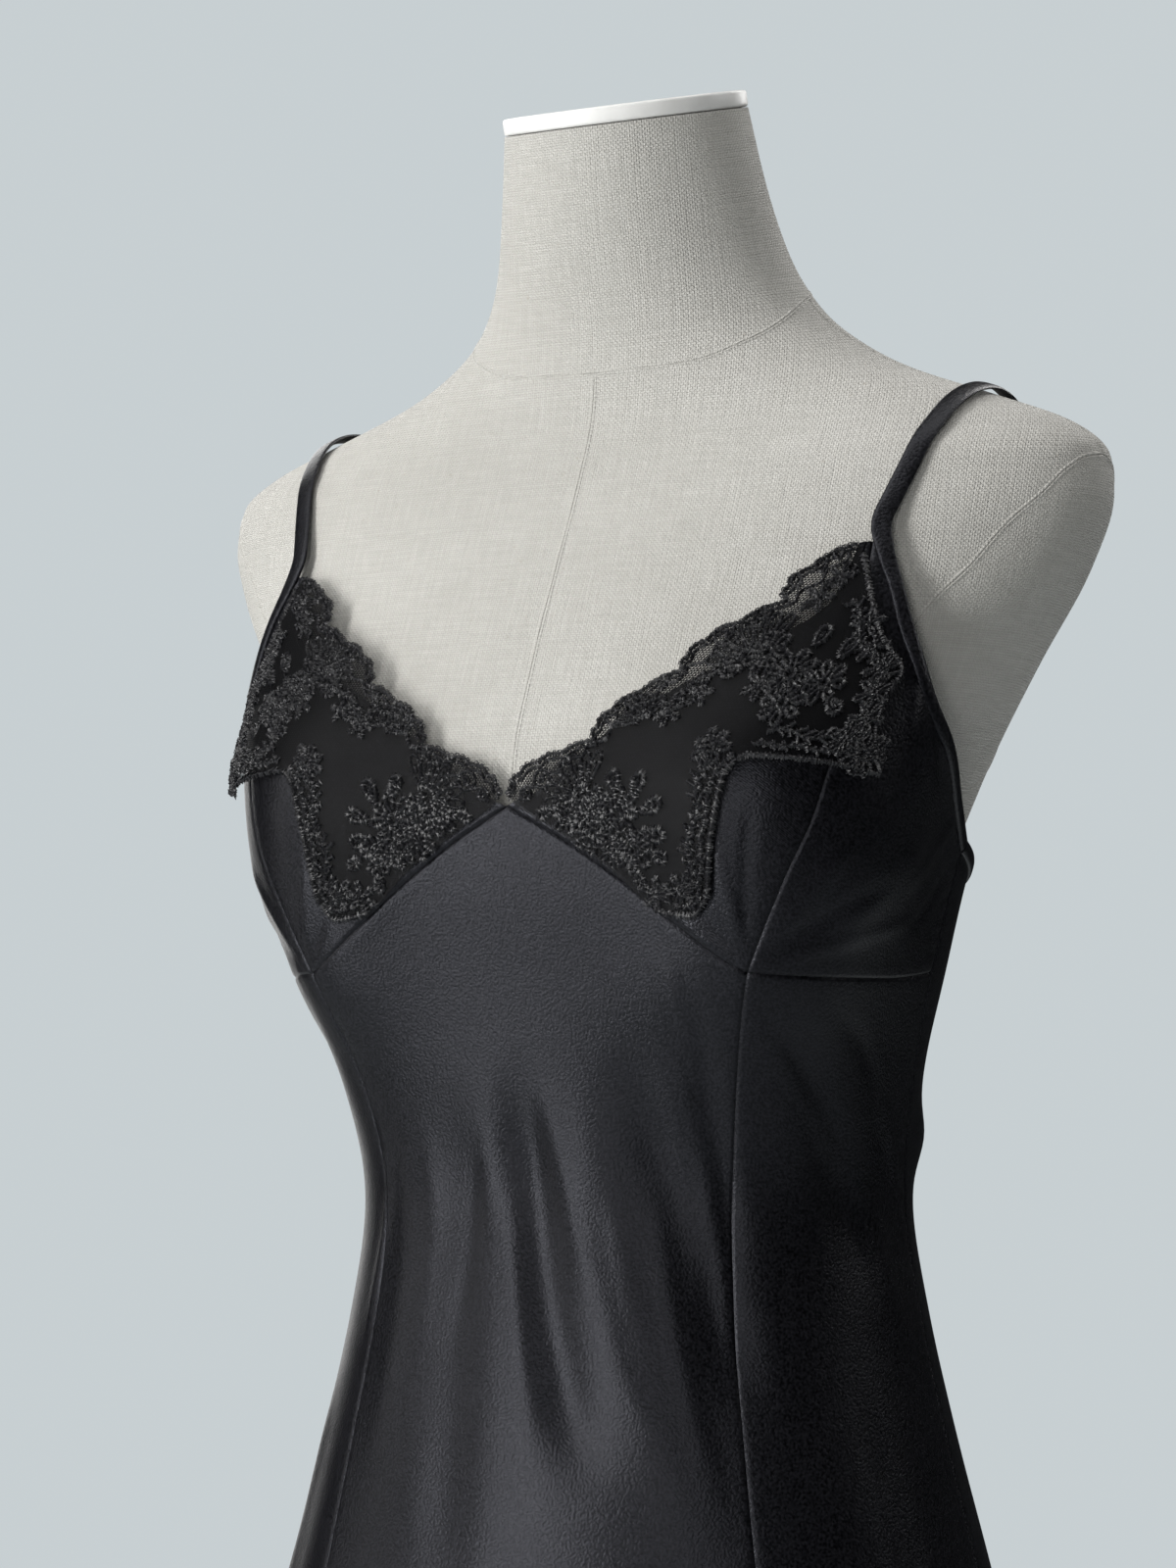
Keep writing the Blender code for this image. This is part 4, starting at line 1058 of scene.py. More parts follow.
def frontGrid():
    half = shares(0.10, panel["step"], fineStart=False)
    upwards = shares(0.58, 0.0032, fineStart=True)
    cupEdge = through(underCup, half)
    top = np.concatenate([mirrored(cupEdge), cupEdge[1:]])
    across = np.concatenate([(1 - half[::-1]) / 2, (1 + half[1:]) / 2])
    side = through(princess, upwards)
    hem = straight((-princess[0][0], figure["hem"]), princess[0], across)
    return patch(hem, top, side * (-1, 1), side, across, upwards)


def sideGrid():
    across = shares(0.105, panel["step"])
    upwards = shares(0.56, 0.0032)
    hem = straight(princess[0], sideSeam[0], across)
    top = through(underbust, across)
    return patch(hem, top, through(princess, upwards), through(sideSeam, upwards), across, upwards)


def backGrid():
    across = shares(0.22, 0.0036)
    upwards = shares(0.61, 0.0036)
    rise = sideUnderbust[1] - figure["hem"]
    whole = armpit[1] - figure["hem"]
    low = upwards[upwards < rise / whole] * whole / rise
    high = (upwards[upwards >= rise / whole] * whole - rise) / (whole - rise)
    side = np.concatenate([through(sideSeam, low), straight(sideUnderbust, armpit, high)])
    centre = straight((180, figure["hem"]), backEdge[-1], upwards)
    hem = straight(sideSeam[0], (180, figure["hem"]), across)
    return patch(hem, through(backEdge, across), side, centre, across, upwards)


def cupInnerGrid():
    across = shares(0.105, 0.0018)
    upwards = shares(0.150, 0.0018)
    return patch(
        through(underCup, across), straight(strapInner, strapMiddle, across),
        through(satinNeck, upwards), through(cupSeam, upwards), across, upwards,
    )


def cupOuterGrid():
    across = shares(0.125, 0.0022)
    upwards = shares(0.12, 0.0022)
    split = 0.02
    top = np.concatenate([straight(strapMiddle, strapOuter, across[across < split] / split),
                          through(armhole, (across[across >= split] - split) / (1 - split))])
    return patch(
        through(underbust, across), top, through(cupSeam, upwards),
        straight(sideUnderbust, armpit, upwards), across, upwards,
    )


def mirrorGrid(grid):
    return grid[:, ::-1] * (-1, 1)


panelPlans = (  # name, grid, edges sewn on the left and right piece, their seeds, hemmed, turned edges
    ("side", sideGrid(), ("lrt", "lrt"), (11, 12), True, ("", "")),
    ("back", backGrid(), ("lr", "lr"), (21, 27), True, ("", "")),
    ("cup_inner", cupInnerGrid(), ("br", "bl"), (31, 37), False, ("l", "r")),
    ("cup_outer", cupOuterGrid(), ("blr", "blr"), (41, 47), False, ("", "")),
)
satinPieces = {"satin_front": satinPanel("satin_front", frontGrid(), "lrt", 3, hemmed=True)}
for part, grid, sewn, seeds, hemmed, edged in panelPlans:
    for k, hand in enumerate(("left", "right")):
        name = "satin_" + part + "_" + hand
        places = mirrorGrid(grid) if hand == "right" else grid
        satinPieces[name] = satinPanel(name, places, sewn[k], seeds[k], hemmed, edged[k])
hemStitch = {
    "pitch": 0.0034,
    "share": 0.6,  # of the pitch that a stitch covers
    "radius": 0.00018,
    "lift": 0.00005,
}


def makeHemStitches():
    # one row of small stitches holds the turned hem
    turns = np.linspace(0, 360, 1441)
    route = dressPoint(turns, figure["hem"] + panel["hemLine"])
    away = normals(dressPoint, turns, figure["hem"] + panel["hemLine"] + 0 * turns)
    length = lengths(route)
    parts = []
    radius, corners = hemStitch["radius"], np.arange(5) * 2 * math.pi / 5
    section = [(radius * math.cos(t), radius * math.sin(t)) for t in corners]
    for start in np.arange(0, length[-1] - hemStitch["pitch"], hemStitch["pitch"]):
        at = np.linspace(start, start + hemStitch["share"] * hemStitch["pitch"], 4)
        middle = np.stack([np.interp(at, length, route[:, k]) for k in range(3)], -1)
        up = unit(np.stack([np.interp(at, length, away[:, k]) for k in range(3)], -1))
        middle = middle + up * (hemStitch["lift"] * np.sin(np.linspace(0, math.pi, 4)))[:, None]
        across = unit(np.cross(unit(np.gradient(middle, axis=0)), up))
        parts.append(tube(middle, across, up, section))
    piece = joined("hem_stitches", parts, sewingBlack)
    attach(piece, "root")
    return piece


hemStitches = makeHemStitches()
print("satin panels made")

# ---- straps and bindings

trim = {
    "under": 13,  # corner of the section where the strip's long edges meet
    "strapWidth": 0.0085,
    "strapThickness": 0.0019,
    "strapLift": 0.0022,
    "strapCrest": 0.155,
    "strapHub": (0.015, 1.200),
    "strapBackAngle": 142,
    "strapSteps": 240,
    "bindingWidth": 0.0062,
    "bindingThickness": 0.0026,
    "tuckedLength": 0.012,  # how far a strap runs down inside the back
    "wrinkle": 0.15,
}


def clothStrip(name, route, across, away, width, thickness, seed):
    # a strip of cloth folded into a narrow tube, with faint cross wrinkles
    length = lengths(route)
    turn = np.random.default_rng(seed).uniform(0, 6.28, 3)
    ripple = np.sin(length / 0.0047 + turn[0] + 2 * np.sin(length / 0.021 + turn[1]))
    ripple = ripple * (0.5 + 0.5 * np.sin(length / 0.033 + turn[2]))
    width, thickness = width + 0 * length, thickness + 0 * length
    section = roundedSection(1, 1, 18, 2.8)
    under = trim["under"]
    section = section[under:] + section[:under + 1]  # the strip's two long edges meet underneath
    rings = []
    for a, b in section:
        puff = 1 + trim["wrinkle"] * ripple * (1 if b > 0 else 0.3) * math.cos(3 * a)
        rings.append(route + across * (a * width)[:, None] + away * (b * thickness * puff)[:, None])
    points = np.stack(rings, 1)
    rows, count = len(route), len(section)
    last = (rows - 1) * count
    faces = [gridFaces(rows, count)]
    faces.append(np.array([list(range(count - 1))[::-1], list(range(last, last + count - 1))]))
    faces = [block[:, ::-1] for block in faces]
    uv = np.stack([np.tile([(a + b) * 0.006 for a, b in section], rows), np.repeat(length, count)], -1)
    return addMesh(name, points.reshape(-1, 3), faces, satin, uv)


def taut(turns, radii):
    ways = np.stack([np.cos(turns), np.sin(turns)], -1)
    points = ways * radii[:, None]
    kept = []
    for k, point in enumerate(points):
        while len(kept) > 1:
            span, step = points[kept[-1]] - points[kept[-2]], point - points[kept[-2]]
            if span[0] * step[1] < span[1] * step[0]:
                break
            kept.pop()
        kept.append(k)
    tight = radii.copy()
    for a, b in zip(kept, kept[1:]):
        line = np.linalg.solve(ways[[a, b]], 1 / radii[[a, b]])
        tight[a + 1 : b] = 1 / (ways[a + 1 : b] @ line)
    return tight


def strapRoute(tree):
    tip = dressPoint(*strapMiddle) + (0, 0, 0.002)
    edge = through(backEdge, np.linspace(0, 1, 19))
    backHeight = np.interp(trim["strapBackAngle"], edge[:, 0], edge[:, 1])
    end = dressPoint(trim["strapBackAngle"], backHeight) + (0, 0, 0.002)
    hubY, hubZ = trim["strapHub"]
    first = math.atan2(tip[2] - hubZ, tip[1] - hubY)
    last = math.atan2(end[2] - hubZ, end[1] - hubY)
    turns = np.linspace(first, last, trim["strapSteps"] + 1)
    x = monotone((last, math.pi / 2, first), (end[0], trim["strapCrest"], tip[0]), turns)
    radii = np.array([math.hypot(place[1] - hubY, place[2] - hubZ) for place in (tip, end)])
    radii = np.interp(np.arange(len(turns)), (0, len(turns) - 1), radii)
    for k in range(1, len(turns) - 1):
        out = Vector((0, math.cos(turns[k]), math.sin(turns[k])))
        hub = Vector((x[k], hubY, hubZ))
        hit = tree.ray_cast(hub + out, -out)[0]
        radii[k] = (hit - hub).length + trim["strapLift"] + trim["strapThickness"] / 2
    radii = taut(turns, radii)
    route = np.stack([x, hubY + radii * np.cos(turns), hubZ + radii * np.sin(turns)], -1)
    return route


def smoothed(route, passes, held=1):
    route = route.copy()
    for _ in range(passes):
        before, after = route[held - 1:-held - 1], route[held + 1:len(route) - held + 1]
        route[held:-held] = (before + 2 * route[held:-held] + after) / 4
    return route


def makeStrap(name, side, tree, seed):
    # one strip: it binds the armhole from under the arm, runs on over the shoulder and ends on the back
    shoulder = strapRoute(tree)
    away = np.array([tuple(tree.find_nearest(Vector(point))[1]) for point in shoulder])
    shoulder, away = shoulder * (side, 1, 1), smoothed(unit(away) * (side, 1, 1), 30)
    edge = through(backEdge, np.linspace(0, 1, 19))
    backHeight = np.interp(trim["strapBackAngle"], edge[:, 0], edge[:, 1])
    fall = np.linspace(0.001, trim["tuckedLength"], 6)
    backAngle = side * (trim["strapBackAngle"] + 0 * fall)
    backAway = normals(dressPoint, backAngle, backHeight - fall)
    onBack = dressPoint(backAngle, backHeight - fall) - backAway * 0.0022
    arm = through(armhole, np.linspace(1, 0, 90)) * (side, 1)
    armRoute, across, armAway = surfaceFrame(dressPoint, arm)
    inward = across * -side
    width, thick = trim["bindingWidth"], trim["bindingThickness"]
    armRoute = armRoute + inward * (width / 2 - 0.0012) - armAway * (panel["thickness"] / 2 - 0.0004)
    skipped = 4
    route = np.concatenate([armRoute[:-skipped], shoulder[skipped:], onBack])
    away = np.concatenate([armAway[:-skipped], away[skipped:], backAway])
    reached = lengths(route)
    joint = reached[len(armRoute) - skipped]
    at = np.linspace(0, reached[-1], int(reached[-1] / 0.0016) + 1)
    route = smoothed(np.stack([np.interp(at, reached, route[:, k]) for k in range(3)], -1), 12)
    away = unit(smoothed(np.stack([np.interp(at, reached, away[:, k]) for k in range(3)], -1), 14))
    way = unit(np.gradient(route, axis=0))
    across = unit(np.cross(way, away))
    away = np.cross(across, way)
    share = softStep((at - joint + 0.030) / 0.034)
    wide = width + (trim["strapWidth"] - width) * share
    deep = thick + (trim["strapThickness"] - thick) * share
    return clothStrip(name, route, across, away, wide, deep, seed)


def makeBinding(name, places, seed):
    # a narrow strip folded over the cloth's edge, a little proud of it on both faces
    route, across, away = surfaceFrame(dressPoint, places)
    width, thick = trim["bindingWidth"], trim["bindingThickness"]
    middle = route + across * (width / 2 - 0.0012) - away * (panel["thickness"] / 2 - 0.0004)
    return clothStrip(name, middle, across, away, width, thick, seed)


bodyTree = BVHTree.FromPolygons(
    [v.co for v in body.data.vertices], [tuple(p.vertices) for p in body.data.polygons])
strapPieces = {
    "satin_strap_left": makeStrap("satin_strap_left", 1, bodyTree, 5),
    "satin_strap_right": makeStrap("satin_strap_right", -1, bodyTree, 6),
}
backTop = through(backEdge, np.linspace(0, 1, 120))
backTop = np.concatenate([backTop, ((360, 0) + mirrored(backTop))[1:]])
bindingPieces = {"satin_binding_back": makeBinding("satin_binding_back", backTop, 9)}
print("straps and bindings made")

# ---- the lace on the cups, as (angle, height) places on the wearer's left

laceTop = (
    (1.2, 1.1905), (6, 1.1985), (10, 1.2045), (15, 1.2140), (20, 1.2280),
    (24, 1.2400), (29, 1.2540), (33, 1.2670), (38.8, 1.2910),
)
laceLow = (
    (2.2, 1.1875), (8, 1.1790), (18, 1.1630), (28, 1.1450), (33, 1.1430), (36, 1.1530), (35.6, 1.1750),
    (35.4, 1.1970), (38, 1.2045), (46, 1.2030), (57, 1.1980), (53.5, 1.2150), (52.8, 1.2285), (53.8, 1.2370),
    (48.4, 1.2520), (42.8, 1.2730), (40.0, 1.2865),
)
lace = {
    "corner": (57, 1.1980),  # the loose point under the arm
    "flare": {1: 0.0010, -1: 0.0040},
    "flareReach": 0.045,
    "lift": 0.0017,  # of the net off the satin
    "netThickness": 0.0002,
    "scallopEnds": (0, 0.28, 0.54, 0.80, 1),  # shares of the upper edge where one scallop meets the next
    "scallopDepth": 0.0056,
    "scallopSkew": 0.6,  # below 1, a scallop rises faster than it falls
    "smallWaves": (5, 4, 4, 3),  # small scallops on each large one
    "smallDepth": 0.0015,
    "picotPitch": 0.0026,
    "picotRadius": 0.0009,
    "fanSpread": 126,
    "threadRadius": 0.00024,
    "stitchPitch": 0.00056,
    "stitchHeight": 0.00062,
}
motifColumns = ("kind", "angle", "height", "facing", "size", "count")
motifs = (
    ("fan", 13.6, 1.1905, 128, 0.0190, 7),
    ("eye", 6.4, 1.1985, 0, 0.0036, 1),
    ("eye", 3.6, 1.1925, 0, 0.0022, 1),
    ("rose", 11.2, 1.1845, 20, 0.0080, 7),
    ("rose", 15.6, 1.1760, 0, 0.0084, 7),
    ("rose", 19.4, 1.1835, 40, 0.0100, 8),
    ("rose", 22.6, 1.1690, 10, 0.0088, 7),
    ("rose", 15.0, 1.1880, 0, 0.0060, 6),
    ("floret", 19.0, 1.1690, 35, 0.0060, 6),
    ("petal", 22.0, 1.1905, 70, 0.0088, 1),
    ("petal", 23.8, 1.1840, 25, 0.0086, 1),
    ("petal", 19.0, 1.1925, 110, 0.0080, 1),
    ("petal", 24.4, 1.1765, -15, 0.0084, 1),
    ("petal", 26.0, 1.1675, -30, 0.0070, 1),
    ("petal", 8.4, 1.1860, 200, 0.0064, 1),
    ("petal", 23.4, 1.1610, -80, 0.0070, 1),
    ("fan", 20.8, 1.2180, 124, 0.0130, 5),
    ("loop", 16.9, 1.2185, 120, 0.0072, 1),
    ("loop", 19.1, 1.2250, 130, 0.0066, 1),
    ("loop", 22.1, 1.2320, 105, 0.0060, 1),
    ("floret", 24.0, 1.2225, 20, 0.0064, 6),
    ("floret", 27.4, 1.2290, 20, 0.0056, 5),
    ("fan", 33.0, 1.2430, 124, 0.0200, 7),
    ("eye", 27.0, 1.2545, 0, 0.0036, 1),
    ("eye", 31.0, 1.2620, 0, 0.0028, 1),
    ("rose", 34.0, 1.2450, 0, 0.0084, 7),
    ("rose", 38.6, 1.2370, 25, 0.0096, 8),
    ("rose", 43.4, 1.2330, 0, 0.0080, 7),
    ("rose", 39.4, 1.2250, 10, 0.0078, 7),
    ("floret", 35.2, 1.2330, 30, 0.0070, 6),
    ("petal", 31.6, 1.2390, 195, 0.0080, 1),
    ("petal", 45.0, 1.2260, -40, 0.0078, 1),
    ("petal", 43.8, 1.2430, 60, 0.0080, 1),
    ("petal", 40.0, 1.2480, 80, 0.0084, 1),
    ("loop", 33.6, 1.2725, 130, 0.0070, 1),
    ("loop", 35.4, 1.2790, 120, 0.0064, 1),
    ("loop", 37.2, 1.2845, 120, 0.0054, 1),
    ("floret", 36.8, 1.2680, 145, 0.0060, 5),
    ("floret", 38.2, 1.2780, 145, 0.0056, 5),
    ("rose", 32.4, 1.2070, 0, 0.0072, 7),
    ("floret", 27.2, 1.1520, 30, 0.0066, 6),
    ("floret", 31.4, 1.1540, 10, 0.0066, 6),
    ("rose", 53.0, 1.2050, 0, 0.0082, 7),
    ("floret", 49.8, 1.2110, 40, 0.0070, 6),
    ("floret", 51.4, 1.2190, 0, 0.0070, 6),
    ("floret", 51.0, 1.2290, 20, 0.0072, 6),
    ("floret", 50.4, 1.2390, 20, 0.0066, 6),
    ("floret", 47.6, 1.2480, 20, 0.0062, 5),
    ("floret", 45.4, 1.2570, 20, 0.0058, 5),
)
vineColumns = ("edge", "start", "end", "inset", "sway", "turns", "leaf")
vines = (  # leafy lines that wander along an edge of the lace, by shares of its length
    ("low", 0.30, 0.49, 0.0080, 0.0016, 2.5, 0.0034),
    ("low", 0.27, 0.50, 0.0034, 0.0006, 4.0, 0.0016),
    ("low", 0.52, 0.64, 0.0090, 0.0014, 2.0, 0.0034),
    ("low", 0.51, 0.65, 0.0040, 0.0006, 3.5, 0.0016),
    ("low", 0.68, 0.94, 0.0055, 0.0014, 3.0, 0.0030),
    ("top", 0.46, 0.72, 0.0085, 0.0012, 2.5, 0.0022),
    ("top", 0.80, 0.95, 0.0070, 0.0010, 1.5, 0.0020),
)


def laceFrame(places, side, lift):
    # points on the lace, which stands off most at its loose corner
    places = np.asarray(places, float)
    off = (places - lace["corner"]) * (foldScale, 1)
    loose = softStep(1 - np.hypot(off[..., 0], off[..., 1]) / lace["flareReach"])
    angle, height = places[..., 0] * side, places[..., 1]
    normal = normals(dressPoint, angle, height)
    out = lace["lift"] + lift + lace["flare"][side] * loose
    return dressPoint(angle, height) + normal * out[..., None], normal


def outwards(places):
    steps = np.gradient(places, axis=0) * (foldScale, 1)
    steps = unit(steps)
    return np.stack([-steps[:, 1] / foldScale, steps[:, 0]], -1)


def scallopedTop(at):
    base = through(laceTop, at)
    ends = np.array(lace["scallopEnds"])
    k = np.clip(np.searchsorted(ends, at, side="right") - 1, 0, len(ends) - 2)
    f = ((at - ends[k]) / (ends[k + 1] - ends[k])) ** lace["scallopSkew"]
    big = lace["scallopDepth"] * np.sin(math.pi * f)
    small = lace["smallDepth"] * np.abs(np.sin(math.pi * f * np.array(lace["smallWaves"])[k]))
    return base + outwards(base) * (big + small)[:, None]


def laceNet(name, side):
    at = np.linspace(0, 1, 280)
    low, top = through(laceLow, at), scallopedTop(at)
    f = np.linspace(0, 1, 30)[:, None, None]
    grid = low[None] * (1 - f) + top[None] * f
    if side == -1:
        grid = grid[:, ::-1]
    outer, normal = laceFrame(grid, side, 0)
    uv = np.stack([grid[..., 0] * 0.00235, grid[..., 1]], -1)
    return shell(name, outer, outer - normal * lace["netThickness"], uv, netBlack)


def placed(shape, angle, height, facing):
    # a flat shape in metres, turned to its facing and laid at a place
    c, s = math.cos(math.radians(facing)), math.sin(math.radians(facing))
    around, _ = slopes(dressPoint, np.array([angle]), np.array([height]))
    metres = np.linalg.norm(around)
    x, y = shape[:, 0] * c - shape[:, 1] * s, shape[:, 0] * s + shape[:, 1] * c
    return np.stack([angle + x / metres, height + y], -1)


def circle(radius, count=28):
    turns = np.linspace(0, 2 * math.pi, count + 1)
    return np.stack([radius * np.cos(turns), radius * np.sin(turns)], -1)


def teardrop(near, far, width, facing=0.0, count=30):
    # a loop from near to far along its facing, widest past its middle
    turns = np.linspace(0, 2 * math.pi, count + 1)
    share = (1 - np.cos(turns)) / 2
    x = near + (far - near) * share
    y = width / 2 * np.sin(turns) * (0.45 + 0.75 * share)
    c, s = math.cos(math.radians(facing)), math.sin(math.radians(facing))
    return np.stack([x * c - y * s, x * s + y * c], -1)


def motifLines(kind, size, count):
    # the sewn lines of a motif: each a flat path, the width of its stitches and how high they stand
    lines = []
    if kind == "fan":
        spread = lace["fanSpread"]
        for k in range(count):
            facing = spread * ((k + 0.5) / count - 0.5)
            wide = size * math.radians(spread / count) * 0.70
            lines.append((teardrop(size * 0.34, size * 0.97, wide, facing), 0.0015, 1.0))
            lines.append((teardrop(size * 0.60, size * 0.76, wide * 0.16, facing, 10), 0.0012, 0.9))
        turns = np.radians(np.linspace(-spread / 2, spread / 2, 40))
        lines.append((np.stack([size * 0.28 * np.cos(turns), size * 0.28 * np.sin(turns)], -1), 0.0022, 1.2))
    elif kind == "rose":
        # a ring of fat overlapping petals round a ring of stitches
        lines.append((circle(size * 0.24), 0.0024, 1.5))
        for k in range(count):
            wide = size * 3.0 / count
            leaf = teardrop(size * 0.34, size * dice.uniform(0.92, 1.12), wide, 360 / count * k, 22)
            lines.append((leaf, 0.0023, 1.3))
    elif kind == "floret":
        lines.append((circle(size * 0.14, 12), 0.0024, 1.4))
        for k in range(count):
            lines.append((teardrop(size * 0.25, size, size * 0.30, 360 / count * k, 14), 0.0021, 1.2))
    elif kind == "petal":
        lines.append((teardrop(0, size, size * 0.62, 0, 26), 0.0025, 1.4))
        lines.append((teardrop(size * 0.3, size * 0.7, size * 0.12, 0, 10), 0.0014, 1.0))
    elif kind == "loop":
        lines.append((teardrop(0, size, size * 0.72, 0, 26), 0.0021, 1.2))
    else:
        lines.append((circle(size), 0.0017, 1.2))
        lines.append((circle(size * 0.35, 14), 0.0016, 1.1))
    return lines


def leafLines(route, leaf):
    # a wandering stem with short leaves to both sides
    metres = route * (foldScale, 1)
    way = unit(np.gradient(metres, axis=0))
    normal = np.stack([-way[:, 1], way[:, 0]], -1)
    lines = [(route, 0.0022, 1.2)]
    for k in range(2, len(route) - 2, 2):
        hand = 1 if (k // 2) % 2 else -1
        lean = way[k] * 0.75 + normal[k] * hand * 0.85
        length = leaf * dice.uniform(0.75, 1.3)
        tip = np.stack([np.zeros(5), np.linspace(0, length, 5)], -1)[:, 1:]
        lines.append((route[k] + tip * lean / (foldScale, 1), 0.0020, 1.3))
    return lines


def stitchedLine(places, side, width, rise, step=0.0009):
    # where the stitches of one line stand, and the pad under them
    route, away = laceFrame(places, side, 0.0001)
    length = lengths(route)
    if length[-1] < 0.0006:
        return None
    count = max(2, int(length[-1] / lace["stitchPitch"]))
    at = np.linspace(0, length[-1], count + 1)
    centre = np.stack([np.interp(at, length, route[:, k]) for k in range(3)], -1)
    up = unit(np.stack([np.interp(at, length, away[:, k]) for k in range(3)], -1))
    way = unit(np.gradient(centre, axis=0))
    across = unit(np.cross(way, up))
    pad = np.linspace(0, length[-1], max(3, int(length[-1] / step)) + 1)
    padRoute = np.stack([np.interp(pad, length, route[:, k]) for k in range(3)], -1)
    padUp = unit(np.stack([np.interp(pad, length, away[:, k]) for k in range(3)], -1))
    padAcross = unit(np.cross(unit(np.gradient(padRoute, axis=0)), padUp))
    half, high = width / 2, lace["stitchHeight"] * rise
    section = [(-0.6 * half, 0), (0, -0.0001), (0.6 * half, 0)]
    section += [(0.35 * half, 0.5 * high), (-0.35 * half, 0.5 * high)]
    padPart = tube(padRoute, padAcross, padUp, section)
    return centre, across, way, up, np.full(count + 1, half), np.full(count + 1, high), padPart


def stitchMesh(centre, across, way, up, half, high):
    # every stitch as a small arched thread with three sides
    count = len(centre)
    slant = dice.normal(0.0, 0.36, count)[:, None]
    turn = across * np.cos(slant) + way * np.sin(slant)
    reach = (half * dice.uniform(0.75, 1.45, count))[:, None]
    top = (high * dice.uniform(0.6, 1.5, count))[:, None]
    centre = centre + way * (dice.normal(0, 0.00007, count))[:, None]
    sunk = up * 0.00005
    spine = np.stack([centre - turn * reach - sunk, centre + up * top, centre + turn * reach - sunk], 1)
    radius = lace["threadRadius"]
    along = unit(np.cross(turn, up))
    offsets = []
    for t in (0.5, 2.6, 4.7):
        offsets.append(along * radius * math.cos(t) + up * radius * math.sin(t))
    points = np.stack([spine + o[:, None, :] for o in offsets], 2)  # stitch, station, corner
    base = np.arange(count)[:, None] * 9
    quads = []
    for station in (0, 1):
        for k in range(3):
            n = (k + 1) % 3
            corners = [station * 3 + k, station * 3 + n, station * 3 + 3 + n, station * 3 + 3 + k]
            quads.append(np.concatenate([base + corner for corner in corners], 1))
    ends = [np.concatenate([base + corner for corner in corners], 1) for corners in ((2, 1, 0), (6, 7, 8))]
    ends = np.concatenate(ends)
    return points.reshape(-1, 3), [np.concatenate(quads), ends]


def picots(edge, side):
    # tiny thread loops that stand out from the scalloped edge
    route, away = laceFrame(edge, side, 0.0002)
    length = lengths(route)
    at = np.arange(lace["picotPitch"], length[-1] - lace["picotPitch"], lace["picotPitch"])
    centre = np.stack([np.interp(at, length, route[:, k]) for k in range(3)], -1)
    up = unit(np.stack([np.interp(at, length, away[:, k]) for k in range(3)], -1))
    way = unit(np.gradient(centre, axis=0))
    out = unit(np.cross(up, way)) * side
    parts = []
    turns = np.linspace(-0.3, math.pi + 0.3, 9)
    for c, w, o, u in zip(centre, way, out, up):
        radius = lace["picotRadius"] * dice.uniform(0.8, 1.25)
        loop = c + w * (radius * np.cos(turns))[:, None] + o * (radius * (0.4 + np.sin(turns)))[:, None]
        frameUp = np.repeat(u[None], len(loop), 0)
        across = unit(np.cross(unit(np.gradient(loop, axis=0)), frameUp))
        section = [(0.00022 * math.cos(t), 0.00022 * math.sin(t)) for t in np.arange(5) * 2 * math.pi / 5]
        parts.append(tube(loop, across, frameUp, section))
    return parts


def vineRoute(vine):
    # a line inside one edge, swaying about its own inset
    share = np.linspace(0, 1, 13)
    edge, inward = (laceLow, 1) if vine["edge"] == "low" else (laceTop, -1)
    places = through(edge, vine["start"] + (vine["end"] - vine["start"]) * share)
    inset = vine["inset"] + vine["sway"] * np.sin(2 * math.pi * vine["turns"] * share)
    return places + outwards(places) * (inward * inset)[:, None]


def laceLines():
    at = np.linspace(0, 1, 420)
    top = scallopedTop(at)
    low = through(laceLow, at)
    base = through(laceTop, at)
    lines = [(top, 0.0022, 1.5), (low[at > 0.24], 0.0026, 1.4)]
    inside = top - outwards(base) * 0.0022
    lines.append((inside[6:-6], 0.0015, 1.1))
    waves = base - outwards(base) * (0.0012 + 0.0012 * np.sin(at * 88))[:, None]
    lines.append((waves[8:-8], 0.0017, 1.1))
    for row in motifs:
        motif = dict(zip(motifColumns, row))
        nudge = dice.uniform(-1, 1, 4) * (0.25, 0.0006, 7, 0.05)
        size = motif["size"] * (1 + nudge[3])
        for shape, width, rise in motifLines(motif["kind"], size, motif["count"]):
            spot = (motif["angle"] + nudge[0], motif["height"] + nudge[1], motif["facing"] + nudge[2])
            places = placed(shape, *spot)
            lines.append((places, width, rise))
    for row in vines:
        vine = dict(zip(vineColumns, row))
        route = vineRoute(vine)
        count = int(np.hypot(*flatSteps(route).T).sum() / 0.0009)
        lines += leafLines(through(route, np.linspace(0, 1, count)), vine["leaf"])
    return lines, top


def laceFilling(name, side):
    # denser net that fills the fans
    parts, flats = [], []
    for row in motifs:
        motif = dict(zip(motifColumns, row))
        if motif["kind"] != "fan":
            continue
        size, spread = motif["size"], lace["fanSpread"]
        radii = np.linspace(size * 0.2, size * 0.97, 12)
        turns = np.radians(np.linspace(-spread / 2, spread / 2, 36))
        shape = np.stack([radii[:, None] * np.cos(turns), radii[:, None] * np.sin(turns)], -1)
        rows, columns = shape.shape[:2]
        places = placed(shape.reshape(-1, 2), motif["angle"], motif["height"], motif["facing"])
        outer, normal = laceFrame(places, side, 0.00015)
        inner = outer - normal * 0.00012
        count = rows * columns
        flip = side == -1
        edge = rimFaces(rows, columns)
        faces = [
            gridFaces(rows, columns, flip=not flip), gridFaces(rows, columns, count, flip=flip),
            edge if flip else edge[:, ::-1],
        ]
        parts.append((np.concatenate([outer, inner]), faces))
        flat = places * (0.00235, 1)
        flats += [flat, flat]
    return joined(name, parts, fillBlack, np.concatenate(flats))


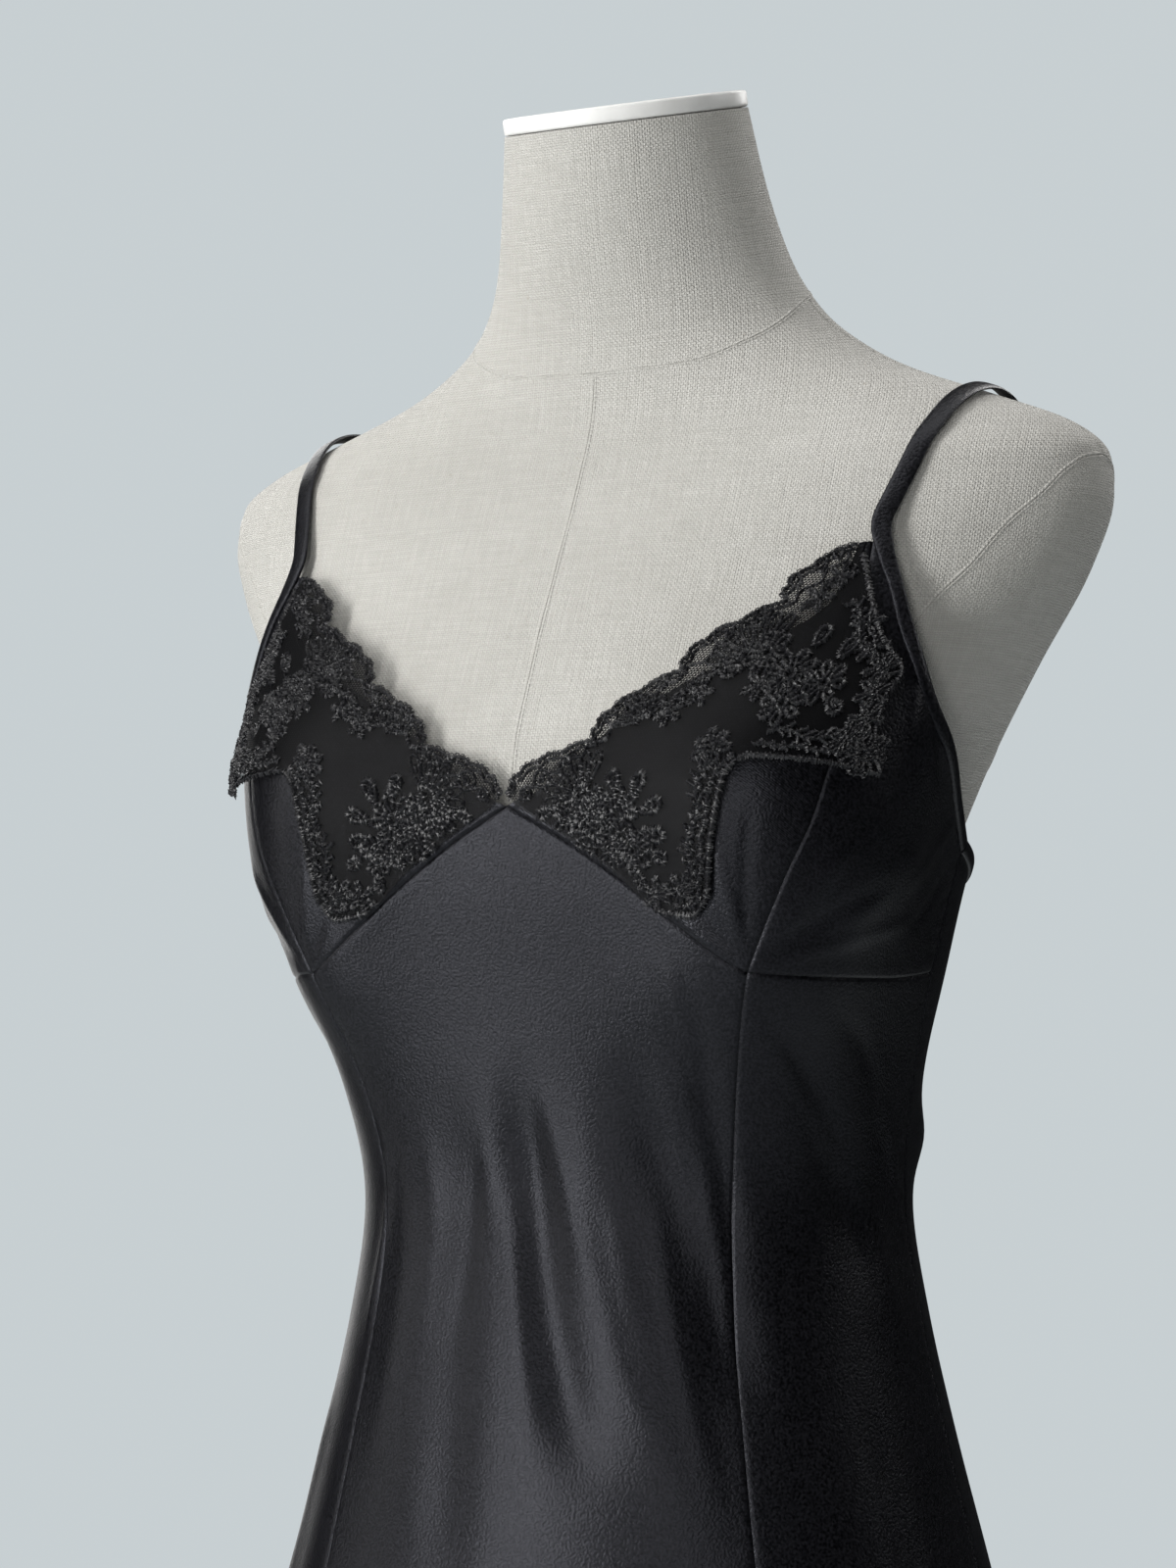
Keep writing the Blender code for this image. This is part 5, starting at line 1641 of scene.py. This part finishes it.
def laceEmbroidery(name, side):
    lines, top = laceLines()
    rows, pads = [], []
    for places, width, rise in lines:
        made = stitchedLine(places, side, width, rise)
        if made is None:
            continue
        rows.append(made[:6])
        pads.append(made[6])
    gathered = [np.concatenate(column) for column in zip(*rows)]
    parts = [stitchMesh(*gathered)] + pads + picots(top, side)
    piece = joined(name, parts, embroideryBlack)
    print(name, "stitches:", len(gathered[0]), "faces:", len(piece.data.polygons))
    return piece


lacePieces = {}
for side, hand in ((1, "left"), (-1, "right")):
    net = laceNet("lace_net_" + hand, side)
    filling = laceFilling("lace_filling_" + hand, side)
    embroidery = laceEmbroidery("lace_embroidery_" + hand, side)
    lacePieces[hand] = (net, filling, embroidery)
    for piece in lacePieces[hand]:
        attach(piece, "root")
    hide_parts("lace_" + hand)
print("lace made")

# ---- the camera, floor and lights

view = {
    "distance": 1.5,
    "azimuth": 27.0,
    "height": 1.118,
    "aimAside": 0.01403,  # how far left of the object's middle it looks, as a slope
    "aimUp": 0.05612,
    "lens": 80.19,
    "lampDistance": 2.5,
    "lampColour": (1.0, 0.995, 0.98),
}


lamps = (  # soft panels round the room: azimuth, elevation, size in metres and power in watts
    ("windowMiddle", -26, 0, (0.6, 1.4), 50),
    ("windowTop", -40, 35, (0.6, 1.4), 22),
    ("windowSide", -70, 0, (0.6, 1.4), 7),
    ("windowHigh", -60, 35, (0.6, 1.4), 8),
    ("ceiling", -30, 68, (1.5, 1.3), 20),
    ("ceilingBack", 120, 72, (1.5, 1.3), 16),
    ("leftWallTop", -130, 35, (0.6, 1.4), 12),
    ("leftWall", -130, 0, (0.6, 1.4), 5),
    ("backWall", 170, 35, (0.6, 1.4), 20),
    ("rightWall", 120, 35, (0.6, 1.4), 14),
    ("front", 14, 0, (0.6, 1.4), 14),
)


def makeCamera():
    turn = math.radians(view["azimuth"])
    place = Vector((view["distance"] * math.sin(turn), -view["distance"] * math.cos(turn), view["height"]))
    ahead = Vector((-math.sin(turn), math.cos(turn), 0))
    right = Vector((math.cos(turn), math.sin(turn), 0))
    yaw, pitch = math.atan(view["aimAside"]), math.atan(view["aimUp"])
    cosine, sine = math.cos(yaw), math.sin(yaw)
    ahead, right = ahead * cosine - right * sine, right * cosine + ahead * sine
    ahead = ahead * math.cos(pitch) + Vector((0, 0, math.sin(pitch)))
    up = right.cross(ahead)
    data = bpy.data.cameras.new("camera")
    data.lens = view["lens"]
    data.sensor_width = 36
    data.clip_end = 50
    camera = bpy.data.objects.new("camera", data)
    matrix = Matrix((right, up, -ahead)).transposed().to_4x4()
    camera.matrix_world = Matrix.Translation(place) @ matrix
    collection.objects.link(camera)
    bpy.context.scene.camera = camera


def makeLight(name, azimuth, elevation, distance, size, power, colour, target=(0, 0, 1.12)):
    data = bpy.data.lights.new(name, "AREA")
    data.shape = "RECTANGLE"
    data.size, data.size_y = size
    data.energy = power
    data.color = colour
    light = bpy.data.objects.new(name, data)
    turn, rise = math.radians(azimuth), math.radians(elevation)
    out = Vector((math.sin(turn) * math.cos(rise), -math.cos(turn) * math.cos(rise), math.sin(rise)))
    light.location = Vector(target) + out * distance
    light.rotation_euler = out.to_track_quat("Z", "Y").to_euler()
    light.visible_camera = False
    collection.objects.link(light)


def makeWorld():
    # the eye sees a pale wall; the object is lit by a dimmer room, brighter on the window's side
    world = bpy.data.worlds.new("room")
    world.use_nodes = True
    tree = world.node_tree
    back = tree.nodes["Background"]
    place = tree.nodes.new("ShaderNodeTexCoord")
    split = tree.nodes.new("ShaderNodeSeparateXYZ")
    tree.links.new(place.outputs["Generated"], split.inputs[0])
    toWindow = spreadRange(tree, split.outputs["X"], 1.0, 0.0, -1.0, 1.0)
    room = colourMix(tree, toWindow, (0.006, 0.007, 0.008), (0.020, 0.021, 0.022))
    sight = tree.nodes.new("ShaderNodeLightPath")
    wall = colourMix(tree, sight.outputs["Is Camera Ray"], room, (0.575, 0.625, 0.645))
    tree.links.new(wall, back.inputs["Color"])
    bpy.context.scene.world = world


def makeFloorPlane():
    reach = 3
    corners = ((-1, -1), (1, -1), (1, 1), (-1, 1))
    points = np.array([(x * reach, y * reach, -0.0002) for x, y in corners])
    floor = addMesh("floor", points, [np.array([[0, 1, 2, 3]])], makeFloor())


makeCamera()
for name, azimuth, elevation, size, power in lamps:
    makeLight(name, azimuth, elevation, view["lampDistance"], size, power, view["lampColour"])
makeWorld()
makeFloorPlane()
bpy.context.scene.view_settings.view_transform = "Standard"

# ---- what each piece stands for

sheets = (  # piece, CAD nodes, flat size and area of the cut that shows, in metres, and how it is held
    ("satin_front", ("front_centre",), (0.309, 0.636), 0.1362, "hung"),
    ("satin_side_{}", ("front_side_{}",), (0.171, 0.578), 0.0744, "hung"),
    ("satin_back_{}", ("back_{}",), (0.313, 0.619), 0.1345, "hung"),
    ("satin_cup_inner_{}", ("cup_inner_{}",), (0.124, 0.180), 0.0108, "draped"),
    ("satin_cup_outer_{}", ("cup_outer_{}",), (0.125, 0.190), 0.0134, "draped"),
    ("satin_strap_{}", ("strap_{}", "binding_{}"), (0.0186, 0.555), 0.0097, "draped"),
    ("satin_binding_back", ("binding_back",), (0.0150, 0.375), 0.0056, "draped"),
)
clothPieces = {**satinPieces, **strapPieces, **bindingPieces}
for name, nodes, flat, area, held in sheets:
    for hand in ("left", "right") if "{}" in name else ("",):
        piece = clothPieces[name.format(hand)]
        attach(piece, "root")
        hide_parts(*[node.format(hand) for node in nodes])
